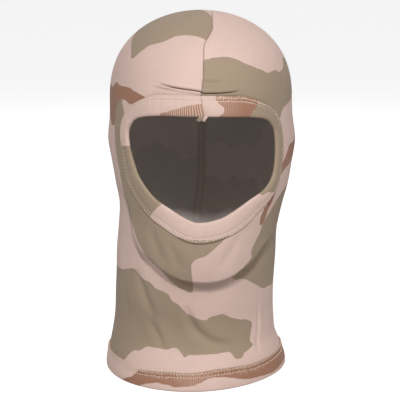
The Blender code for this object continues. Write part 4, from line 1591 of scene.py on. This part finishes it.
class BALACLAVA_OT_stage(bpy.types.Operator):
    """Set up the floor, the studio light and the camera"""

    bl_idname = "balaclava.stage"
    bl_label = "Stage"

    def execute(self, context):
        scene, stage = context.scene, context.scene.balaclava_stage
        self.floor()
        self.room(scene, stage.room)
        for name, azimuth, elevation, distance, size, power, share in LAMPS:
            self.light(name, azimuth, elevation, distance, size, share * getattr(stage, power))
        camera_data = bpy.data.cameras.new("Camera")
        camera_data.lens = stage.lens
        camera_data.sensor_width = 36.0
        camera = new_object("Camera", camera_data)
        back = Vector((0.0, -math.cos(stage.elevation), math.sin(stage.elevation)))
        camera.location = MIDDLE + stage.distance * back
        camera.rotation_euler = (CAMERA_AIM - camera.location).to_track_quat("-Z", "Y").to_euler()
        scene.camera = camera
        scene.view_settings.view_transform = "Standard"
        return {"FINISHED"}

    def floor(self):
        """A pale floor, as white as the room where the camera sees it."""
        mesh = bpy.data.meshes.new("floor")
        mesh.from_pydata([(-FLOOR, -FLOOR, 0), (FLOOR, -FLOOR, 0), (FLOOR, FLOOR, 0),
                          (-FLOOR, FLOOR, 0)], [], [(0, 1, 2, 3)])
        obj = new_object("floor", mesh)
        material, tree, shader = new_material("Pale floor")
        noise = add_node(tree, "ShaderNodeTexNoise", {"Scale": 40.0}).outputs["Fac"]
        tree.links.new(math_node(tree, "MULTIPLY_ADD", noise, 0.1, 0.85),
                       shader.inputs["Roughness"])
        shader.inputs["Base Color"].default_value = (0.6, 0.6, 0.6, 1.0)
        shader.inputs["Specular IOR Level"].default_value = 0.1
        shader.inputs["Emission Color"].default_value = (1.0, 1.0, 1.0, 1.0)
        path = tree.nodes.new("ShaderNodeLightPath")
        tree.links.new(math_node(tree, "MULTIPLY", path.outputs["Is Camera Ray"], 0.72),
                       shader.inputs["Emission Strength"])
        mesh.materials.append(material)

    def room(self, scene, strength):
        """Even light from all round, which looks white to the camera whatever its strength."""
        world = bpy.data.worlds.new("Room")
        world.use_nodes = True
        background = world.node_tree.nodes["Background"]
        background.inputs["Color"].default_value = (1.0, 1.0, 1.0, 1.0)
        seen = world.node_tree.nodes.new("ShaderNodeLightPath").outputs["Is Camera Ray"]
        shown = math_node(world.node_tree, "MULTIPLY_ADD", seen, 1.0 - strength, strength)
        world.node_tree.links.new(shown, background.inputs["Strength"])
        scene.world = world

    def light(self, name, azimuth, elevation, distance, size, power):
        """A round lamp that points at the middle of the hood."""
        data = bpy.data.lights.new(name, "AREA")
        data.shape = "DISK"
        data.size = size
        data.energy = power
        lamp = new_object(name, data)
        turn, rise = math.radians(azimuth), math.radians(elevation)
        away = Vector((math.sin(turn) * math.cos(rise), -math.cos(turn) * math.cos(rise),
                       math.sin(rise)))
        lamp.location = MIDDLE + distance * away
        lamp.rotation_euler = (-away).to_track_quat("-Z", "Y").to_euler()


class BALACLAVA_PT_sidebar(bpy.types.Panel):
    """Lists the steps that make the balaclava"""

    bl_idname = "BALACLAVA_PT_sidebar"
    bl_label = "Balaclava"
    bl_space_type = "VIEW_3D"
    bl_region_type = "UI"
    bl_category = "Balaclava"

    def draw(self, context):
        for group in (context.scene.balaclava_cut, context.scene.balaclava_print,
                      context.scene.balaclava_stage):
            box = self.layout.box()
            for key in group.__annotations__:
                box.prop(group, key)
        for operator in OPERATORS:
            self.layout.operator(operator.bl_idname)


SETTINGS = {"balaclava_cut": BalaclavaCut, "balaclava_print": BalaclavaPrint,
            "balaclava_stage": BalaclavaStage}
OPERATORS = (BALACLAVA_OT_stage, BALACLAVA_OT_side_panels, BALACLAVA_OT_face_band,
             BALACLAVA_OT_hem_band, BALACLAVA_OT_seams, BALACLAVA_OT_needle_rows,
             BALACLAVA_OT_band_join, BALACLAVA_OT_cloth_facts)


def register():
    for cls in (*SETTINGS.values(), *OPERATORS, BALACLAVA_PT_sidebar):
        bpy.utils.register_class(cls)
    for name, cls in SETTINGS.items():
        setattr(bpy.types.Scene, name, PointerProperty(type=cls))


def unregister():
    for name in SETTINGS:
        delattr(bpy.types.Scene, name)
    for cls in reversed((*SETTINGS.values(), *OPERATORS, BALACLAVA_PT_sidebar)):
        bpy.utils.unregister_class(cls)


def main():
    register()
    bpy.ops.balaclava.stage()
    bpy.ops.balaclava.side_panels()
    bpy.ops.balaclava.face_band()
    bpy.ops.balaclava.hem_band()
    bpy.ops.balaclava.seams()
    bpy.ops.balaclava.needle_rows()
    bpy.ops.balaclava.band_join()
    bpy.ops.balaclava.cloth_facts()


if __name__ == "__main__":
    main()
